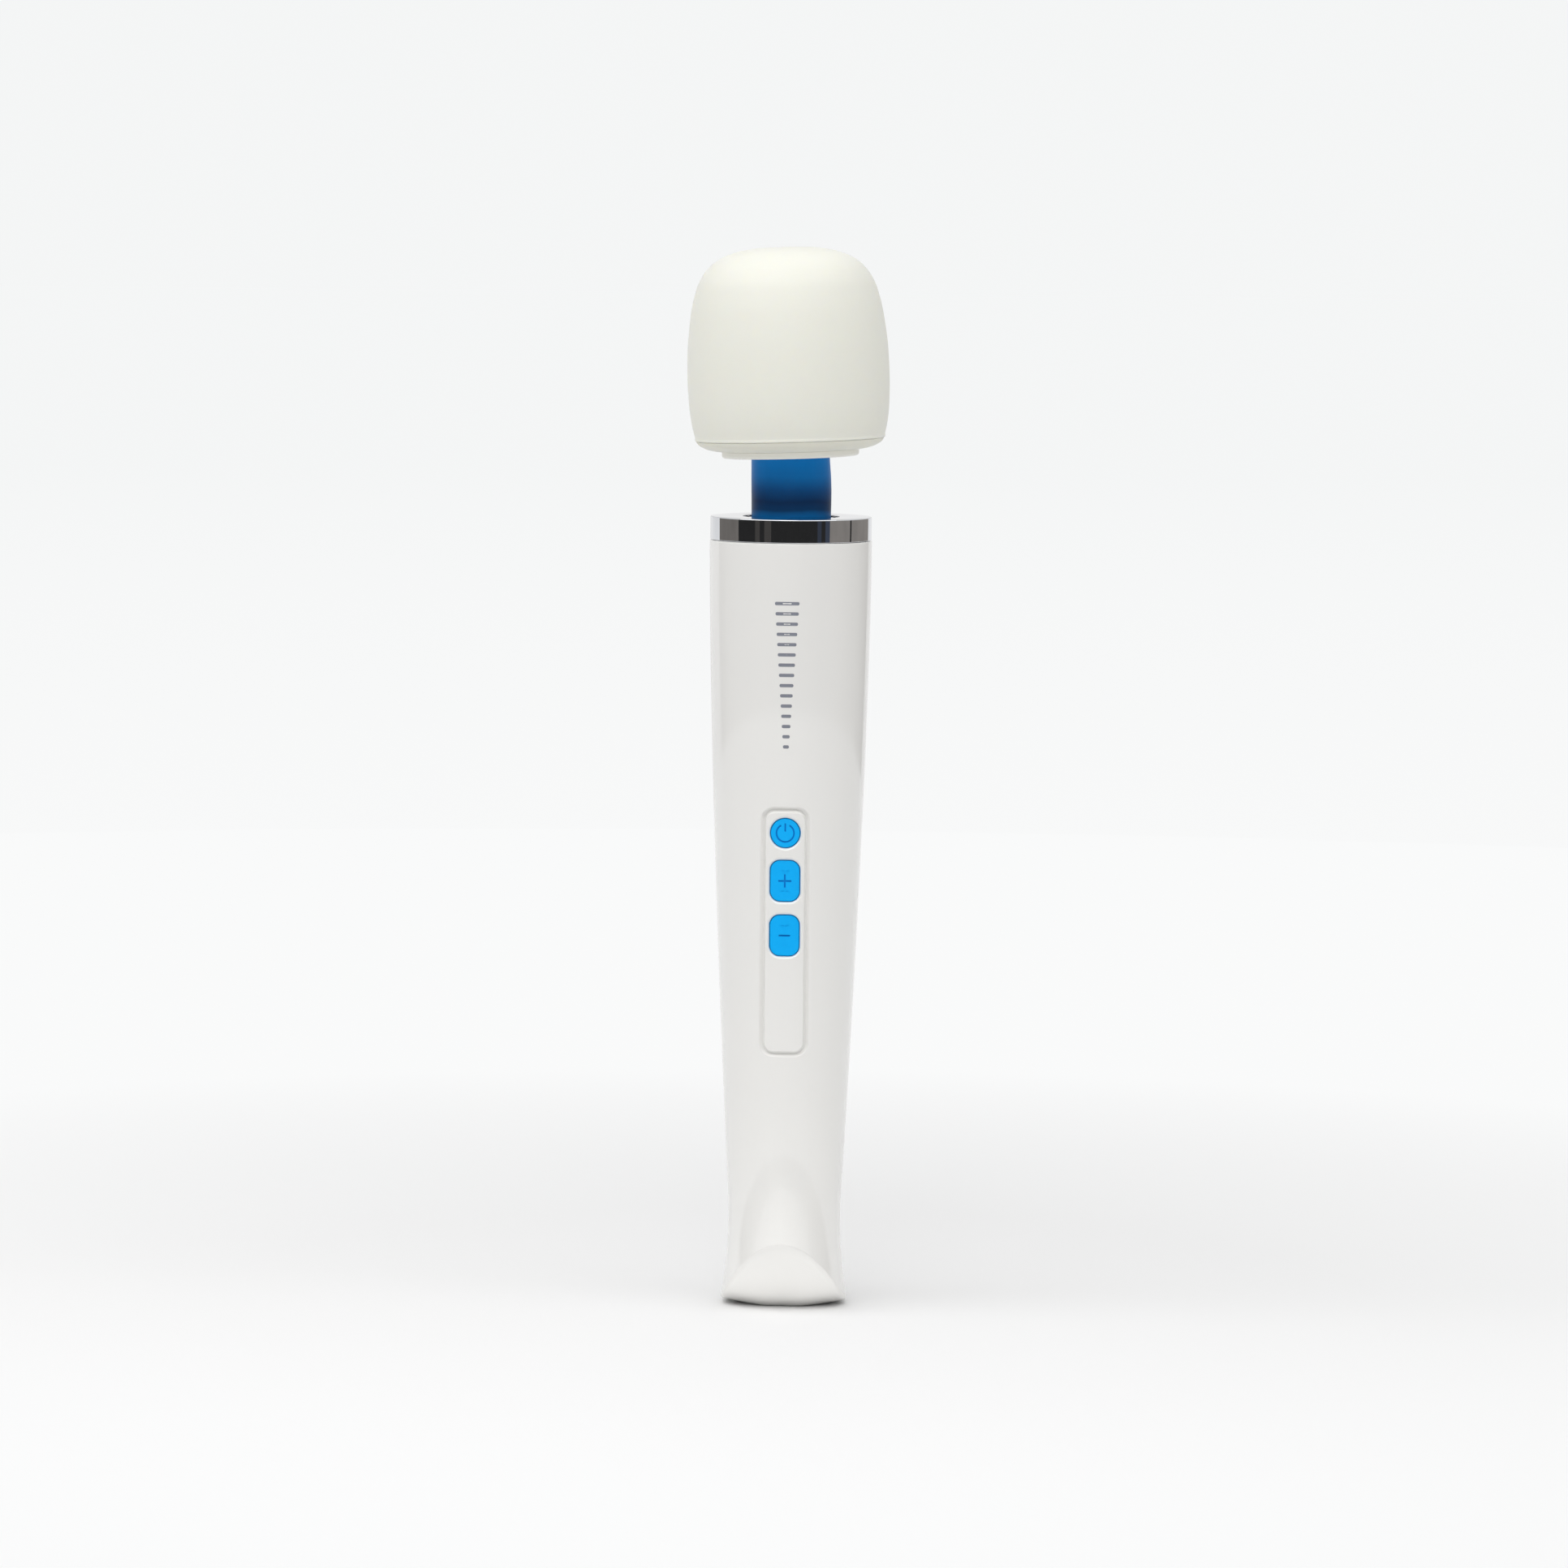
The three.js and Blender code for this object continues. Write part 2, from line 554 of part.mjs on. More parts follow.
const coreLowerProfile = [
  [5, 266], [26.2, 266], [26.2, 285], [24.4, 285], [24.4, 268.5], [10.5, 268.5], [10.5, 275.8], [8.3, 275.8],
  [8.3, 269.9], [5, 269.9],
];
const coreLower = drilled(solid(turned(coreLowerProfile, ROUND)), 1.25, 260, 270);
add("head_core_lower", geometryOf(coreLower), corePlastic, head);
const coreUpperProfile = [
  [26.2, 285.3], [25.7, 298], [24.2, 306.5], [20.5, 313], [12.5, 317.6], [0, 319], [0, 317], [8.3, 316.4], [8.3, 296.4],
  [10.5, 296.4], [10.5, 315.6], [19, 311.4], [22.4, 305.5], [23.9, 297.5], [24.4, 285.3],
];
add("head_core_upper", turned(coreUpperProfile, ROUND), corePlastic, head);
add("head_bearing_lower", tube(2.8, 8, 270.2, 275.2, 16), steel, head);
add("head_bearing_upper", tube(2.8, 8, 297, 302, 16), steel, head);
const shaftProfile = [[0, 260], [2, 260], [2, 267.4], [2.5, 267.6], [2.5, 303], [0, 303]];
add("eccentric_shaft", turned(shaftProfile, 12), steel, head);
add("eccentric_weight", arcBlock(2.8, 18, 0, 150, 279, 294, 8), brass, head);

// The cushion: a barrel side, a rounded shoulder and a flat dome, hollow over the core
function headCushion() {
  const outer = new THREE.SplineCurve(
    [
      [28.6, 265.1], [29.7, 269], [30.5, 276], [30.65, 286], [30.3, 295], [29.1, 304.5], [26.9, 312.5],
      [22.6, 318.6], [14, 322.6], [0, HEAD_TOP],
    ].map(([r, z]) => new THREE.Vector2(r, z)),
  );
  const outside = outer.getPoints(13).map((p) => [Math.max(0, p.x), p.y]);
  outside[outside.length - 1] = [0, HEAD_TOP];
  const inside = [[0, 319.4], [12.7, 318], [20.8, 313.3], [24.6, 306.6], [26.1, 298], [26.6, 285], [26.6, 265.1]];
  return turned([...outside, ...inside], ROUND);
}

add("head_cushion", headCushion(), cushionSilicone, head);

// Wires inside the handle: motor to board, and inlet to board
function lead(name, points, material) {
  const curve = new THREE.CatmullRomCurve3(points.map((p) => new THREE.Vector3(...p)));
  add(name, wire(curve, 0.7, 6, 12), material);
}

for (const [name, side, material] of [["red", -1, redSheath], ["black", 1, blackSheath]]) {
  const x = 3.2 * side;
  lead(`motor_lead_${name}`, [[x, 6, 168.5], [x, 4.5, 163], [x, -1, 157], [x, -6.5, 152], [x, -9.7, 147]], material);
  lead(
    `inlet_lead_${name}`,
    [[x, INLET_Y, 16.7], [x, 8, 27], [x * 0.8, 4, 48], [x * 0.8, -1, 66], [x, -6.5, 80], [x, -9.7, 89]],
    material,
  );
}

export default wand;
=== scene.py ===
"""The looks of a handheld wand massager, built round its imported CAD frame.

Lengths of the object are millimetres in the frame's own axes: +Z up, the buttons face -Y. mesh_piece()
turns them into metres. The stage, the lights and the camera are in metres throughout.
"""

import json
import math

import bmesh
import bpy
import numpy as np
from mathutils import Matrix, Vector


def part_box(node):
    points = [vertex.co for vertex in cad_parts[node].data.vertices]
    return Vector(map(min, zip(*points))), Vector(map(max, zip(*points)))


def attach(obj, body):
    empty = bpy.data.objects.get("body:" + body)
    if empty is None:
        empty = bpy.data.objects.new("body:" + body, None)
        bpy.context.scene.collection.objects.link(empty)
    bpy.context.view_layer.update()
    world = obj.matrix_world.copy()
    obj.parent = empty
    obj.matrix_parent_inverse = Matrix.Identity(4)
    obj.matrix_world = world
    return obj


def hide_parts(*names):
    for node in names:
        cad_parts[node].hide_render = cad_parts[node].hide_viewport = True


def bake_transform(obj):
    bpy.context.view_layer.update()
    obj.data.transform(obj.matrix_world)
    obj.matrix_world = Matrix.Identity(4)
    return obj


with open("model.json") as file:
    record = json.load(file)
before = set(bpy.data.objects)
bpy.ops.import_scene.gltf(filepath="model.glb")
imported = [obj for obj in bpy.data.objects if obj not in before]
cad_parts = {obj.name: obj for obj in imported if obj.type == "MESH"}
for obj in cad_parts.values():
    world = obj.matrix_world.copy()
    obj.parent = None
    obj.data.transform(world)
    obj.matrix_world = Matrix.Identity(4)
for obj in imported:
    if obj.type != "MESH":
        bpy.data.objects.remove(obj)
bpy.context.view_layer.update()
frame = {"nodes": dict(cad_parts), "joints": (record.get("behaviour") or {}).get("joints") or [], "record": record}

MM = 0.001


def span(node):
    """The lowest and highest corners of a CAD node in millimetres."""
    low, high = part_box(node)
    return low / MM, high / MM


# ---------- sizes that the frame gives ----------
JOINTS = {joint["name"]: joint for joint in frame["joints"]}
NECK_PIVOT = Vector(JOINTS["neck_tilt_side"]["pos_m"]) / MM
HEAD_AXIS = Vector(JOINTS["eccentric_spin"]["axis"])
HEAD_TURN = Vector((0, 0, 1)).rotation_difference(HEAD_AXIS).to_matrix()
HANDLE_TOP = span("rear_shell")[1].z
TOP_RADIUS = span("rear_shell")[1].y
RIM_HALF_WIDTH = span("foot_cap")[1].x - 0.5
RIM_FRONT_DEPTH = -span("foot_cap")[0].y
RIM_BACK_DEPTH = span("foot_cap")[1].y
RING_TOP = span("trim_ring")[1].z
RING_RADIUS = span("trim_ring")[1].x

# ---------- sizes of the handle's form ----------
TAPER = 9.3
EXTRA_DEPTH = 1.2
WALL = 2.2
RIM_SIDE_RISE = 1.3
RIM_TOE_RISE = 21.0
RIM_ARCH = 1.8  # how narrow the arch of the toe is
FLARE_RISE = 31
FLARE_TOE_RISE = 4
PARTING = 0.025  # half the visible gap between the shells
SEAM_RISE = 0.9  # the shells end this far above the rim, on the foot cap
HAIRLINE = 0.02

PANEL = {"half_width": 6.7, "half_height": 37.35, "corner": 3.4, "z": 117.05}  # the groove's middle line
GROOVE = {"half_width": 1.0, "depth": 1.15}
BUTTONS = {
    "power_button": {"width": 9.2, "height": 9.2, "corner": 4.6},
    "plus_button": {"width": 9.2, "height": 12.8, "corner": 3.2},
    "minus_button": {"width": 9.2, "height": 12.8, "corner": 3.2},
}
BUTTON_RECESS = 0.46  # how far a key's face is below the handle's surface
SIGN_DEPTH = 0.24
KEY_GAP = 0.2  # between a key and its opening
KEY_FLANGE = {"grow": 0.8, "rear": -17.2, "front": -18.2}  # rear and front are in Y
KEY_STEM_RADIUS = 1.6
OUTLINE_POINTS = 96  # round a key or an opening
# how deep each step of an opening's rounded lip is, and how much wider the opening is there
LIP = [(-0.62, 1.25), (-0.3, 0.95), (0, 0.72), (0.1, 0.5), (0.26, 0.3), (0.5, 0.13), (0.9, 0), (8, 0)]
# how deep each step of a key's rounded edge is, and how much wider than the opening the key is there
KEY_EDGE = [(1.0, -0.2), (0.75, -0.21), (0.56, -0.28), (0.48, -0.42), (BUTTON_RECESS, -0.6)]
PLUGS = [name for name in frame["nodes"] if name.startswith("screw_plug")]
PLUG_WIDTH = 5.1
PLUG_HOLE = 5.3
PLUG_EDGE = [(3.0, -0.1), (0.55, -0.1), (0.4, -0.16), (0.3, -0.32), (0.26, -0.7), (0.24, -1.6)]
SOLE_THICKNESS = 2.6
INLET_MOUTH = [[0, -3, 0], [6.5, -3, 0], [6.5, -0.2, 0.5], [5.6, 0.7, 0.6], [5.6, 9, 0], [0, 9, 0]]
RING_BORE = 14.8  # radius of the opening round the neck
RING_FOOT = 235.15  # height of the ring's visible lower edge
RING_LEDGE = 236.6  # height of the underside of its top plate
RING_SKIRT = (21.9, 19.6)  # outer and inner radius of the part inside the shells
SCALE = {"dashes": 15, "z": 173.6, "step": 3.1, "half": 0.9, "widen": 0.2, "thick": 1.0}
NECK_BORE = 8.6
NECK_RADIUS = 12.2  # halfway up
NECK_TOP = 262.0
LEAN_FROM, LEAN_OVER = 240, 20  # where the neck starts to lean with the head, and over what height it does
SCREW_WELL = {"radius": 2.1, "from": 250.0, "to": 261.6}
COIL = {"radius": 3.0, "wire": 0.65, "pitch": 3.9, "zero": 231.0, "top": 266.4}


# ---------- colour ----------
def linear(red, green, blue):
    """An sRGB colour of 0 to 255 as linear red, green, blue and 1."""
    values = [c / 255 for c in (red, green, blue)]
    return tuple(c / 12.92 if c <= 0.04045 else ((c + 0.055) / 1.055) ** 2.4 for c in values) + (1.0,)


NOISE_LOW, NOISE_HIGH = 0.3, 0.7  # the range that noise mostly stays in
MOTTLE = 12


class Material:
    """A node material with a Principled shader; fixed values go straight on its sockets."""

    def __init__(self, name, roughness=0.5, metallic=0.0, **fixed):
        self.data = bpy.data.materials.new(name)
        self.data.use_nodes = True
        self.nodes = self.data.node_tree.nodes
        self.links = self.data.node_tree.links
        self.shader = self.nodes["Principled BSDF"]
        self.shader.inputs["Roughness"].default_value = roughness
        self.shader.inputs["Metallic"].default_value = metallic
        for socket, value in fixed.items():
            self.shader.inputs[socket.replace("_", " ")].default_value = value

    def node(self, kind, **settings):
        """A new node; each setting is one of its properties or one of its sockets."""
        made = self.nodes.new(kind)
        for key, value in settings.items():
            if hasattr(made, key):
                setattr(made, key, value)
            else:
                made.inputs[key.replace("_", " ")].default_value = value
        return made

    def link(self, source, target):
        self.links.new(source, target)

    def noise(self, scale, detail=3.0, stretch=(1, 1, 1)):
        """Noise in the object's own coordinates; scale is in cycles a metre."""
        place = self.node("ShaderNodeTexCoord")
        mapping = self.node("ShaderNodeMapping")
        mapping.inputs["Scale"].default_value = stretch
        self.link(place.outputs["Object"], mapping.inputs["Vector"])
        noise = self.node("ShaderNodeTexNoise", Scale=scale, Detail=detail)
        self.link(mapping.outputs["Vector"], noise.inputs["Vector"])
        return noise.outputs["Fac"]

    def ramp(self, factor, stops):
        """The colour at a factor along (position, colour) stops."""
        ramp = self.node("ShaderNodeValToRGB")
        elements = ramp.color_ramp.elements
        while len(elements) < len(stops):
            elements.new(0.5)
        for element, (position, colour) in zip(elements, stops):
            element.position = position
            element.color = colour
        self.link(factor, ramp.inputs["Fac"])
        return ramp.outputs["Color"]

    def colour_from(self, factor, dark, light):
        stops = [(NOISE_LOW, dark), (NOISE_HIGH, light)]
        self.link(self.ramp(factor, stops), self.shader.inputs["Base Color"])

    def roughness_from(self, factor, low, high):
        spread = self.node("ShaderNodeMapRange", From_Min=NOISE_LOW, From_Max=NOISE_HIGH)
        spread.inputs["To Min"].default_value = low
        spread.inputs["To Max"].default_value = high
        self.link(factor, spread.inputs["Value"])
        self.link(spread.outputs["Result"], self.shader.inputs["Roughness"])

    def bump_from(self, factor, distance, strength=1.0):
        bump = self.node("ShaderNodeBump", Strength=strength, Distance=distance)
        self.link(factor, bump.inputs["Height"])
        self.link(bump.outputs["Normal"], self.shader.inputs["Normal"])


def shade(colour, amount):
    """A colour made lighter or darker."""
    return tuple(min(1.0, c * amount) for c in colour[:3]) + (1.0,)


def textured(
    name, colour, roughness, metallic=0.0, grain=2500, bump=0.00002, vary=0.05, stretch=(1, 1, 1), **fixed
):
    """A moulded, cast or drawn surface: a little mottle in colour and gloss, and a fine grain.

    The grain is in cycles a metre, and its mottle is MOTTLE times coarser.
    """
    made = Material(name, roughness, metallic, **fixed)
    mottle = made.noise(grain / MOTTLE, stretch=stretch)
    made.colour_from(mottle, shade(colour, 1 - vary), shade(colour, 1 + vary))
    made.roughness_from(mottle, roughness * (1 - vary), roughness * (1 + 2 * vary))
    made.bump_from(made.noise(grain, detail=2, stretch=stretch), bump)
    return made.data


def gloss_plastic():
    """White plastic with a polished skin."""
    gloss = {"Coat_Weight": 1.0, "Coat_Roughness": 0.04, "Specular_IOR_Level": 0.4}
    colour = linear(240, 239, 236)
    return textured("shell_gloss_abs", colour, 0.34, grain=900, bump=0.000008, vary=0.002, **gloss)


def silicone(name, colour):
    """Matt moulded silicone that lets a little light through."""
    depth = {"Subsurface_Weight": 0.25, "Subsurface_Radius": (0.006, 0.005, 0.003), "Sheen_Weight": 0.15}
    return textured(name, colour, 0.6, grain=3200, bump=0.00002, vary=0.003, **depth)


def key_rubber_painted_glow():
    """Bright blue rubber with a painted glow: a slight emission lifts the keys, though they are no lamp."""
    # Painted glow: emission that makes the blue brighter than the light on it gives.
    glow = {"Emission_Color": (0.0, 0.55, 0.8, 1.0), "Emission_Strength": 0.07, "Specular_IOR_Level": 0.12}
    return textured("button_blue_painted_glow", linear(0, 172, 250), 0.5, vary=0.01, **glow)


NECK_CLOUD = 0.12  # how far noise shifts the neck's colours up and down it


def neck_elastomer_painted_shade():
    """Satin blue, with painted light and shade up its height: a ramp on its height sets its colour.

    The attribute rest_height runs from 0 to 1 up it.
    """
    made = Material("neck_blue_painted_shade", 0.42, Specular_IOR_Level=0.12)
    height = made.node("ShaderNodeAttribute", attribute_name="rest_height")
    cloud = made.noise(45, detail=2)
    drift = made.node("ShaderNodeMath", operation="MULTIPLY_ADD")
    drift.inputs[1].default_value = NECK_CLOUD
    made.link(cloud, drift.inputs[0])
    made.link(height.outputs["Fac"], drift.inputs[2])
    # Painted shade in the dark lower middle, a painted reflection of the ring in the lighter band near the foot,
    # and painted light towards the top.
    stops = [
        (0.0, linear(0, 57, 104)),
        (0.16, linear(3, 107, 175)),
        (0.25, linear(0, 54, 98)),
        (0.36, linear(0, 42, 82)),
        (0.52, linear(0, 71, 127)),
        (0.72, linear(1, 113, 186)),
        (0.95, linear(2, 127, 205)),
    ]
    made.link(made.ramp(drift.outputs["Value"], stops), made.shader.inputs["Base Color"])
    made.bump_from(made.noise(2600, detail=2), 0.00002)
    return made.data


def chrome_plate():
    """Polished chrome with the faintest wave in its gloss."""
    made = Material("chrome_plate", 0.04, 1.0)
    made.colour_from(made.noise(60), linear(222, 224, 228), linear(228, 229, 232))
    made.roughness_from(made.noise(900, detail=5), 0.02, 0.035)
    return made.data


def make_materials():
    """Every material, by the name of its slot."""
    sign = {"vary": 0.01, "Specular_IOR_Level": 0.1}
    return {
        "shell_white": gloss_plastic(),
        "plug_white": textured("plug_white", linear(228, 226, 222), 0.42),
        "collar_white": textured("collar_satin_white", linear(249, 248, 240), 0.45, bump=0.00001, vary=0.004),
        "chrome_ring": chrome_plate(),
        "neck_blue": neck_elastomer_painted_shade(),
        "button_blue": key_rubber_painted_glow(),
        # The signs' darker blue is painted shade in their engraved strokes.
        "button_sign": textured("button_sign_painted_shade", linear(0, 134, 218), 0.6, **sign),
        "web_blue": textured("web_blue_rubber", linear(20, 130, 200), 0.6),
        "cushion_silicone": silicone("cushion_silicone", linear(234, 234, 224)),
        "base_silicone": silicone("base_silicone", linear(232, 231, 218)),
        "core_dark": textured("core_glass_nylon", linear(62, 65, 70), 0.5, bump=0.00005, vary=0.15),
        "board_green": textured("board_laminate", linear(26, 104, 56), 0.35, grain=6000, vary=0.12),
        "switch_black": textured("switch_black", linear(30, 30, 32), 0.4, vary=0.1),
        "screw_steel": textured("screw_zinc", linear(190, 192, 196), 0.28, 1.0, vary=0.06),
        "can_steel": textured("can_plated_steel", linear(180, 182, 185), 0.3, 1.0, stretch=(1, 1, 12)),
        "shaft_steel": textured("shaft_ground_steel", linear(198, 200, 203), 0.18, 1.0, stretch=(1, 1, 20)),
        "spring_steel": textured("spring_wire", linear(150, 152, 156), 0.25, 1.0),
        "magnet_ferrite": textured("magnet_ferrite", linear(70, 70, 74), 0.7, bump=0.00008, vary=0.12),
        "bush_bronze": textured("bush_bronze", linear(168, 122, 66), 0.4, 1.0, bump=0.00006, vary=0.12),
        "brush_carbon": textured("brush_carbon", linear(34, 34, 36), 0.5, bump=0.00006, vary=0.15),
        "winding_copper": textured("winding_copper", linear(196, 118, 66), 0.3, 1.0, stretch=(9, 9, 1)),
        "weight_brass": textured("weight_brass", linear(212, 170, 84), 0.22, 1.0, stretch=(1, 1, 14)),
        "damper_rubber": textured("damper_rubber", linear(36, 37, 40), 0.8, bump=0.0001, vary=0.15),
        "lead_red": textured("lead_red_sheath", linear(180, 36, 42), 0.4, vary=0.06),
        "lead_black": textured("lead_black_sheath", linear(28, 28, 30), 0.4, vary=0.1),
        "print_grey": textured("print_grey_ink", linear(128, 131, 142), 0.45, bump=0.000005, vary=0.03),
    }


MATERIALS = make_materials()


# ---------- mesh helpers ----------
def mesh_piece(name, body, points, faces, slot, replaces=(), smooth=40):
    """Makes a piece from points in millimetres; edges sharper than smooth degrees stay crisp."""
    mesh = bpy.data.meshes.new(name)
    mesh.from_pydata((np.asarray(points, float).reshape(-1, 3) * MM).tolist(), [], faces)
    mesh.validate()
    piece = bpy.data.objects.new(name, mesh)
    bpy.context.scene.collection.objects.link(piece)
    mesh.materials.append(MATERIALS[slot])
    tidy_normals(mesh)
    mesh.shade_smooth()
    mesh.set_sharp_from_angle(angle=math.radians(smooth))
    if body:
        place(piece, body, slot, replaces)
    return piece


def place(piece, body, slot, replaces=()):
    """Puts a piece on its body, in place of the nodes that it replaces."""
    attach(piece, body)
    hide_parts(*replaces)


def tidy_normals(mesh):
    """Joins points that coincide and turns every face outwards."""
    made = bmesh.new()
    made.from_mesh(mesh)
    bmesh.ops.remove_doubles(made, verts=made.verts, dist=1e-7)
    bmesh.ops.recalc_face_normals(made, faces=made.faces)
    made.to_mesh(mesh)
    made.free()


def grid_faces(rows, columns, start=0, wrap=False):
    """Quads over a grid of points in row order; wrap joins the last column to the first."""
    last = columns if wrap else columns - 1
    row, column = np.meshgrid(np.arange(rows - 1), np.arange(last), indexing="ij")
    after = (column + 1) % columns
    here, above = row * columns, (row + 1) * columns
    corners = (here + column, here + after, above + after, above + column)
    return (start + np.stack([corner.ravel() for corner in corners], 1)).tolist()


def filleted(corners, steps=5):
    """A closed outline through [x, y, radius] corners, each rounded by a curve of about that radius."""
    outline = []
    count = len(corners)
    for i, (x, y, radius) in enumerate(corners):
        here = np.array([x, y], float)
        if not radius:
            outline.append(here)
            continue
        before, after = (np.array(corners[(i + step) % count][:2], float) - here for step in (-1, 1))
        reach = [min(radius, 0.48 * np.linalg.norm(side)) for side in (before, after)]
        start, end = (here + side / np.linalg.norm(side) * r for side, r in zip((before, after), reach))
        for t in np.linspace(0, 1, steps):
            outline.append((1 - t) ** 2 * start + 2 * t * (1 - t) * here + t**2 * end)
    return np.array(outline)


def turned(outline, segments=128):
    """Points and faces of a closed [r, z] outline turned about Z; points on the axis become one."""
    outline = np.asarray(outline, float)
    angles = np.linspace(0, 2 * np.pi, segments, endpoint=False)
    r, z = outline[:, :1], outline[:, 1:]
    points = np.stack([r * np.cos(angles), r * np.sin(angles), z + 0 * angles], -1)
    faces = grid_faces(len(outline), segments, wrap=True)
    last = (len(outline) - 1) * segments
    for i in range(segments):
        j = (i + 1) % segments
        faces.append([last + i, last + j, j, i])
    return points.reshape(-1, 3), faces


def leaned(points):
    """Points of the head, moved from the handle's axis onto the head's own axis."""
    pivot = np.array(NECK_PIVOT)
    return (np.asarray(points, float).reshape(-1, 3) - pivot) @ np.array(HEAD_TURN).T + pivot


def smooth_curve(points, steps):
    """A Catmull-Rom curve through points, with steps between each two."""
    p = np.asarray(points, float)
    p = np.vstack([2 * p[0] - p[1], p, 2 * p[-1] - p[-2]])
    curve = []
    for a, b, c, d in zip(p, p[1:], p[2:], p[3:]):
        for t in np.linspace(0, 1, steps, endpoint=False):
            square, cube = 2 * a - 5 * b + 4 * c - d, 3 * b - a - 3 * c + d
            curve.append(0.5 * (2 * b + (c - a) * t + square * t**2 + cube * t**3))
    curve.append(p[-2])
    return np.array(curve)


def cut(piece, cutters):
    """Cuts closed meshes out of a piece and applies the result."""
    for cutter in cutters:
        modifier = piece.modifiers.new("cut", "BOOLEAN")
        modifier.operation = "DIFFERENCE"
        modifier.solver = "EXACT"
        modifier.object = cutter
        modifier.material_mode = "TRANSFER"
    apply_modifiers(piece)
    for cutter in cutters:
        bpy.data.objects.remove(cutter)


def apply_modifiers(piece):
    """Keeps the result of a piece's modifiers as its mesh."""
    depsgraph = bpy.context.evaluated_depsgraph_get()
    mesh = bpy.data.meshes.new_from_object(piece.evaluated_get(depsgraph))
    piece.modifiers.clear()
    piece.data = mesh


# ---------- the handle's surface ----------
def half_width(z):
    return TOP_RADIUS - TAPER * ((HANDLE_TOP - z) / HANDLE_TOP) ** 1.5


def half_depth(z):
    return half_width(z) + EXTRA_DEPTH * (1 - z / HANDLE_TOP)


def frontness(angle):
    return np.maximum(0, np.sin(angle))


def rim_rise(angle):
    return RIM_SIDE_RISE + (RIM_TOE_RISE - RIM_SIDE_RISE) * frontness(angle) ** RIM_ARCH


def rim_depth(angle):
    return np.where(np.sin(angle) > 0, RIM_FRONT_DEPTH, RIM_BACK_DEPTH)


def section(angle, z):
    """The handle's half width and half depth at an angle and height, with the flare at its foot."""
    rim = rim_rise(angle)
    height = np.clip(z, rim, HANDLE_TOP)
    front = frontness(angle)
    reach = FLARE_RISE + FLARE_TOE_RISE * front
    flare = np.clip((rim + reach - height) / reach, 0, 1) ** (1.75 + 0.25 * front)
    width = half_width(height) + (RIM_HALF_WIDTH - half_width(rim)) * flare
    depth = half_depth(height) + (rim_depth(angle) - half_depth(rim)) * flare
    return width, depth


def handle_point(angle, z, inset=0.0):
    """A point on the handle's side; the angle is 0 at +X and a quarter turn at the front."""
    width, depth = section(angle, z)
    return np.stack([(width - inset) * np.cos(angle), -(depth - inset) * np.sin(angle), z + 0 * angle], -1)


def front_y(x, z, inset=0.0):
    """The Y of the handle's front surface at x and z."""
    width, depth = section(np.pi / 2, z)
    return -(depth - inset) * np.sqrt(1 - (x / (width - inset)) ** 2)


def back_y(x, z, inset=0.0):
    width, depth = section(-np.pi / 2, z)
    return (depth - inset) * np.sqrt(1 - (x / (width - inset)) ** 2)


def sole_point(angle, share):
    """A point on the foot's underside: share is 0 at the middle and 1 at the rim."""
    front = frontness(angle)
    flat = 0.62 - 0.36 * front + 0.15 * np.maximum(0, -np.sin(angle))
    rise = (np.maximum(0, share - flat) / (1 - flat)) ** 1.3
    return np.stack(
        [
            share * RIM_HALF_WIDTH * np.cos(angle),
            -share * rim_depth(angle) * np.sin(angle),
            rise * rim_rise(angle),
        ],
        -1,
    )


def rounded_box(x, z, half_w, half_h, corner):
    """Signed distance to a rounded rectangle's outline, below 0 inside it."""
    qx = np.abs(x) - (half_w - corner)
    qz = np.abs(z) - (half_h - corner)
    outside = np.hypot(np.maximum(qx, 0), np.maximum(qz, 0))
    return outside + np.minimum(np.maximum(qx, qz), 0) - corner


def groove_inset(x, z):
    """How deep the panel's U-shaped groove is at a point on the front."""
    distance = rounded_box(x, z - PANEL["z"], PANEL["half_width"], PANEL["half_height"], PANEL["corner"])
    across = np.clip(np.abs(distance) / GROOVE["half_width"], 0, 1)
    return GROOVE["depth"] * (0.5 + 0.5 * np.cos(np.pi * across)) ** 0.8


def spread(*runs):
    """Joined runs of (from, to, about this step), as increasing values."""
    parts = [np.linspace(a, b, max(2, int(round(abs(b - a) / step)) + 1))[:-1] for a, b, step in runs]
    return np.append(np.concatenate(parts), runs[-1][1])


def edge_roll(distance, radius=0.35):
    """How far a surface rolls in near its edge, at a distance from it."""
    near = np.clip(1 - distance / radius, 0, 1)
    return radius * (1 - np.sqrt(1 - near**2))


# ---------- handle shells ----------
PANEL_REACH = 9.0  # the grid's columns are straight up and down within this half width of the front
STRAIGHT_FROM = 46.0  # and its rows are level above this height
MEAN_RADIUS = 20
ROW_SKIP, COLUMN_SKIP = 8, 6  # the inside of a shell has one row for so many of the outside, and one column


def shell_rows():
    """Shares of the way up from the rim for the lower rows, then the heights of the level rows."""
    upper = spread(
        (STRAIGHT_FROM, 76.5, 2.2), (76.5, 83.5, 0.17), (83.5, 149.5, 1.1), (149.5, 156.5, 0.17),
        (156.5, 232.5, 2.5), (232.5, 234, 0.5), (234, HANDLE_TOP, 0.1),
    )  # fmt: skip
    lower = np.linspace(0, 1, 34, endpoint=False)
    return lower, upper


def shell_columns():
    """Columns as x on the front's middle, then as shares of the way to the parting line."""
    fine = spread((0, 2.6, 0.65), (2.6, 8.3, 0.17), (8.3, PANEL_REACH, 0.35))
    edge = np.array([0.004, 0.012, 0.022, 0.034, 0.05, 0.075])
    shares = np.concatenate([np.linspace(0, 0.9, 22)[1:], 1 - edge[::-1], [1.0]])
    return fine, shares


